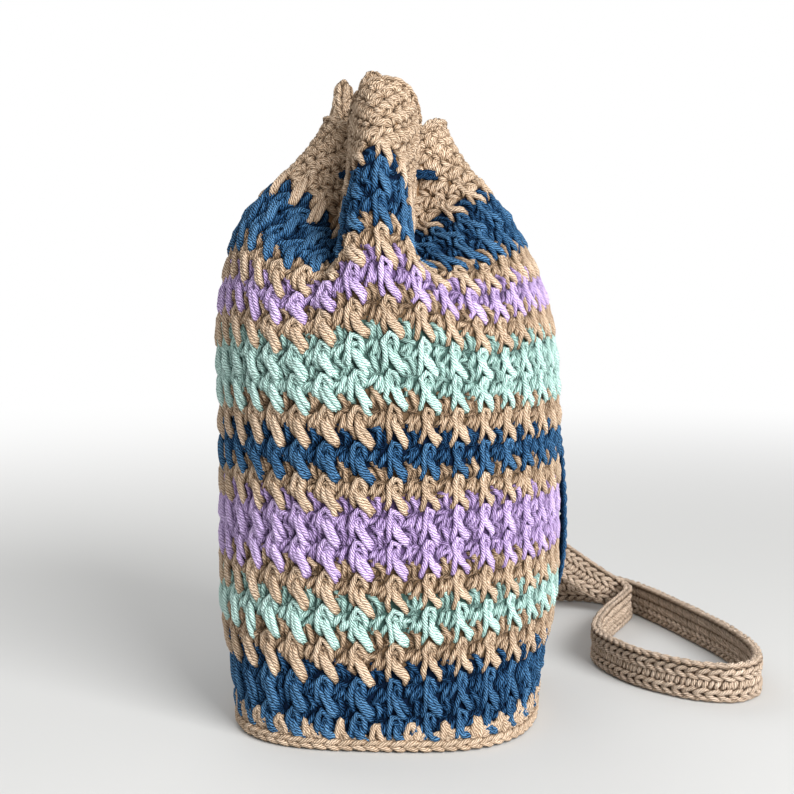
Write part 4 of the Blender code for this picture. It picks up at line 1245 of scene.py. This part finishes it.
def strap_strands():
    """Chains and posts on the two faces and edges, over a flat core darkened as painted shade. A face's
    rows are set off from the middle line across the band, and so deep that their crests lie in the band's
    face."""
    points, across, face = strap_line()
    crest = STRAP_YARN + CHAIN_CREST * STRAP_HIGH
    made = []
    for side, middle in FACE_CHAINS:
        row = points + middle * across + side * (STRAP_THICKNESS / 2 - crest + FACE_CHAIN_PROUD) * face
        made += chain(row, side * face, STRAP_PITCH, FACE_CHAIN_WIDE, STRAP_HIGH, STRAP_YARN, bumps=False)
    for side in (1, -1):
        row = points + side * (STRAP_WIDTH / 2 - crest) * across
        made += chain(row, side * across, STRAP_PITCH, EDGE_CHAIN_WIDE, STRAP_HIGH, STRAP_YARN, bumps=False)
    for side, foot, head, lean in FACE_POSTS:
        row = points + side * (STRAP_THICKNESS / 2 - POST_YARN - POST_SUNK) * face
        foot, head = -side * foot, -side * head
        made += posts(row, side * face, STRAP_PITCH / 2, foot, head, lean, POST_HIGH, POST_YARN)
    ahead = np.cross(across, face)
    for end, way in ((0, -1), (-1, 1)):
        outer = way * ahead[end]
        reach = np.linspace(-END_HALF_WIDTH, END_HALF_WIDTH, END_POINTS)[:, None]
        row = points[end] + reach * across[end] - END_SUNK * outer
        up = np.tile(outer, (END_POINTS, 1))
        made += chain(row, up, END_PITCH, END_WIDE, STRAP_HIGH, STRAP_YARN, bumps=False)
        seams = np.tile(SEAM, (len(SEAM_PLACES), 1, 1))
        line = through(seams + chance.standard_normal(seams.shape) * SEAM_JITTER, SEAM_POINTS)
        places = np.array(SEAM_PLACES)[:, None] + line[:, :, 0]
        sewn = points[end] + places[..., None] * across[end]
        sewn = sewn + line[:, :, 1:2] * face[end] + line[:, :, 2:] * outer
        up = np.broadcast_to(face[end], sewn.shape)
        made.append(strand(sewn, up, STRAP_YARN, CHAIN_SIDES, np.zeros(sewn.shape[:2])))
    w, t = CORE_HALF_WIDTH, CORE_HALF_THICKNESS
    middles = points[::2]
    corners = [middles + x * across[::2] + y * face[::2] for x, y in ((w, -t), (w, t), (-w, t), (-w, -t))]
    core = np.stack(corners, axis=1)[None]
    # Painted shade: the core's tone is dark.
    made.append((core, distances(middles)[None], np.full(core.shape[:3], CORE_SHADE)))
    return made, points


strands, strap_path = strap_strands()
strap = finished("strap_crochet", strands, STRAP_TAN, "strap_yarn", "strap")

# The studio: a plain pale floor that goes over to white with the distance from the bag, and a world
# that is white to the camera. The light is soft: a large lamp at the front right, weaker ones at the
# left and behind, and the world.
FLOOR_HALF_WIDTH = 6
FLOOR_COLOUR = (0.60, 0.60, 0.59, 1)
FLOOR_ROUGHNESS = 0.8
FADE_FROM = 0.30
FADE_TO = 1.30
WORLD_STRENGTH = 0.39
WHITE = (1, 1, 1, 1)


def seen_directly(nodes, links):
    """1 for camera, mirror and see-through rays, and 0 for the rays that carry light."""
    path = nodes.new("ShaderNodeLightPath")
    total = path.outputs["Is Camera Ray"]
    for other in ("Is Glossy Ray", "Is Transmission Ray"):
        either = nodes.new("ShaderNodeMath")
        either.operation = "MAXIMUM"
        links.new(total, either.inputs[0])
        links.new(path.outputs[other], either.inputs[1])
        total = either.outputs[0]
    return total


floor_mesh = bpy.data.meshes.new("floor")
floor_corners = FLOOR_HALF_WIDTH * np.array([(-1, -1, 0), (1, -1, 0), (1, 1, 0), (-1, 1, 0)])
floor_mesh.from_pydata(floor_corners.tolist(), [], [(0, 1, 2, 3)])
floor_finish = bpy.data.materials.new("floor")
nodes, links = with_nodes(floor_finish)
floor_shader = nodes["Principled BSDF"]
floor_shader.inputs["Base Color"].default_value = FLOOR_COLOUR
floor_shader.inputs["Roughness"].default_value = FLOOR_ROUGHNESS
floor_place = nodes.new("ShaderNodeTexCoord")
distance = nodes.new("ShaderNodeVectorMath")
distance.operation = "LENGTH"
links.new(floor_place.outputs["Object"], distance.inputs[0])
fade = nodes.new("ShaderNodeMapRange")
fade.interpolation_type = "SMOOTHSTEP"
fade.inputs["From Min"].default_value = FADE_FROM
fade.inputs["From Max"].default_value = FADE_TO
links.new(distance.outputs["Value"], fade.inputs["Value"])
faded = nodes.new("ShaderNodeMath")
faded.operation = "MULTIPLY"
links.new(fade.outputs["Result"], faded.inputs[0])
links.new(seen_directly(nodes, links), faded.inputs[1])
white = nodes.new("ShaderNodeEmission")
floor_mix = nodes.new("ShaderNodeMixShader")
links.new(faded.outputs[0], floor_mix.inputs[0])
links.new(floor_shader.outputs[0], floor_mix.inputs[1])
links.new(white.outputs[0], floor_mix.inputs[2])
links.new(floor_mix.outputs[0], nodes["Material Output"].inputs["Surface"])
floor_mesh.materials.append(floor_finish)
floor = in_scene("floor", floor_mesh)

world = bpy.data.worlds.new("world")
nodes, links = with_nodes(world)
light = nodes["Background"]
light.inputs["Color"].default_value = WHITE
light.inputs["Strength"].default_value = WORLD_STRENGTH
backdrop = nodes.new("ShaderNodeBackground")
backdrop.inputs["Color"].default_value = WHITE
world_mix = nodes.new("ShaderNodeMixShader")
links.new(seen_directly(nodes, links), world_mix.inputs[0])
links.new(light.outputs[0], world_mix.inputs[1])
links.new(backdrop.outputs[0], world_mix.inputs[2])
links.new(world_mix.outputs[0], nodes["World Output"].inputs["Surface"])
bpy.context.scene.world = world

LAMP_AIM = (0.0, 0.0, 0.13)
LAMPS = (
    ("key", (0.70, -0.98, 0.64), 0.80, 30.0),
    ("fill", (-1.1, -0.8, 0.5), 1.2, 1.6),
    ("back", (-0.5, 1.1, 0.8), 1.2, 9.0),
)
for name, place, size, power in LAMPS:
    lamp_data = bpy.data.lights.new(name, "AREA")
    lamp_data.size = size
    lamp_data.energy = power
    lamp = in_scene(name, lamp_data)
    lamp.location = place
    aim = np.array(LAMP_AIM) - place
    tip = math.acos(-aim[2] / np.linalg.norm(aim))
    lamp.rotation_euler = (tip, 0, math.atan2(aim[1], aim[0]) - math.pi / 2)

bpy.context.scene.view_settings.view_transform = "Standard"
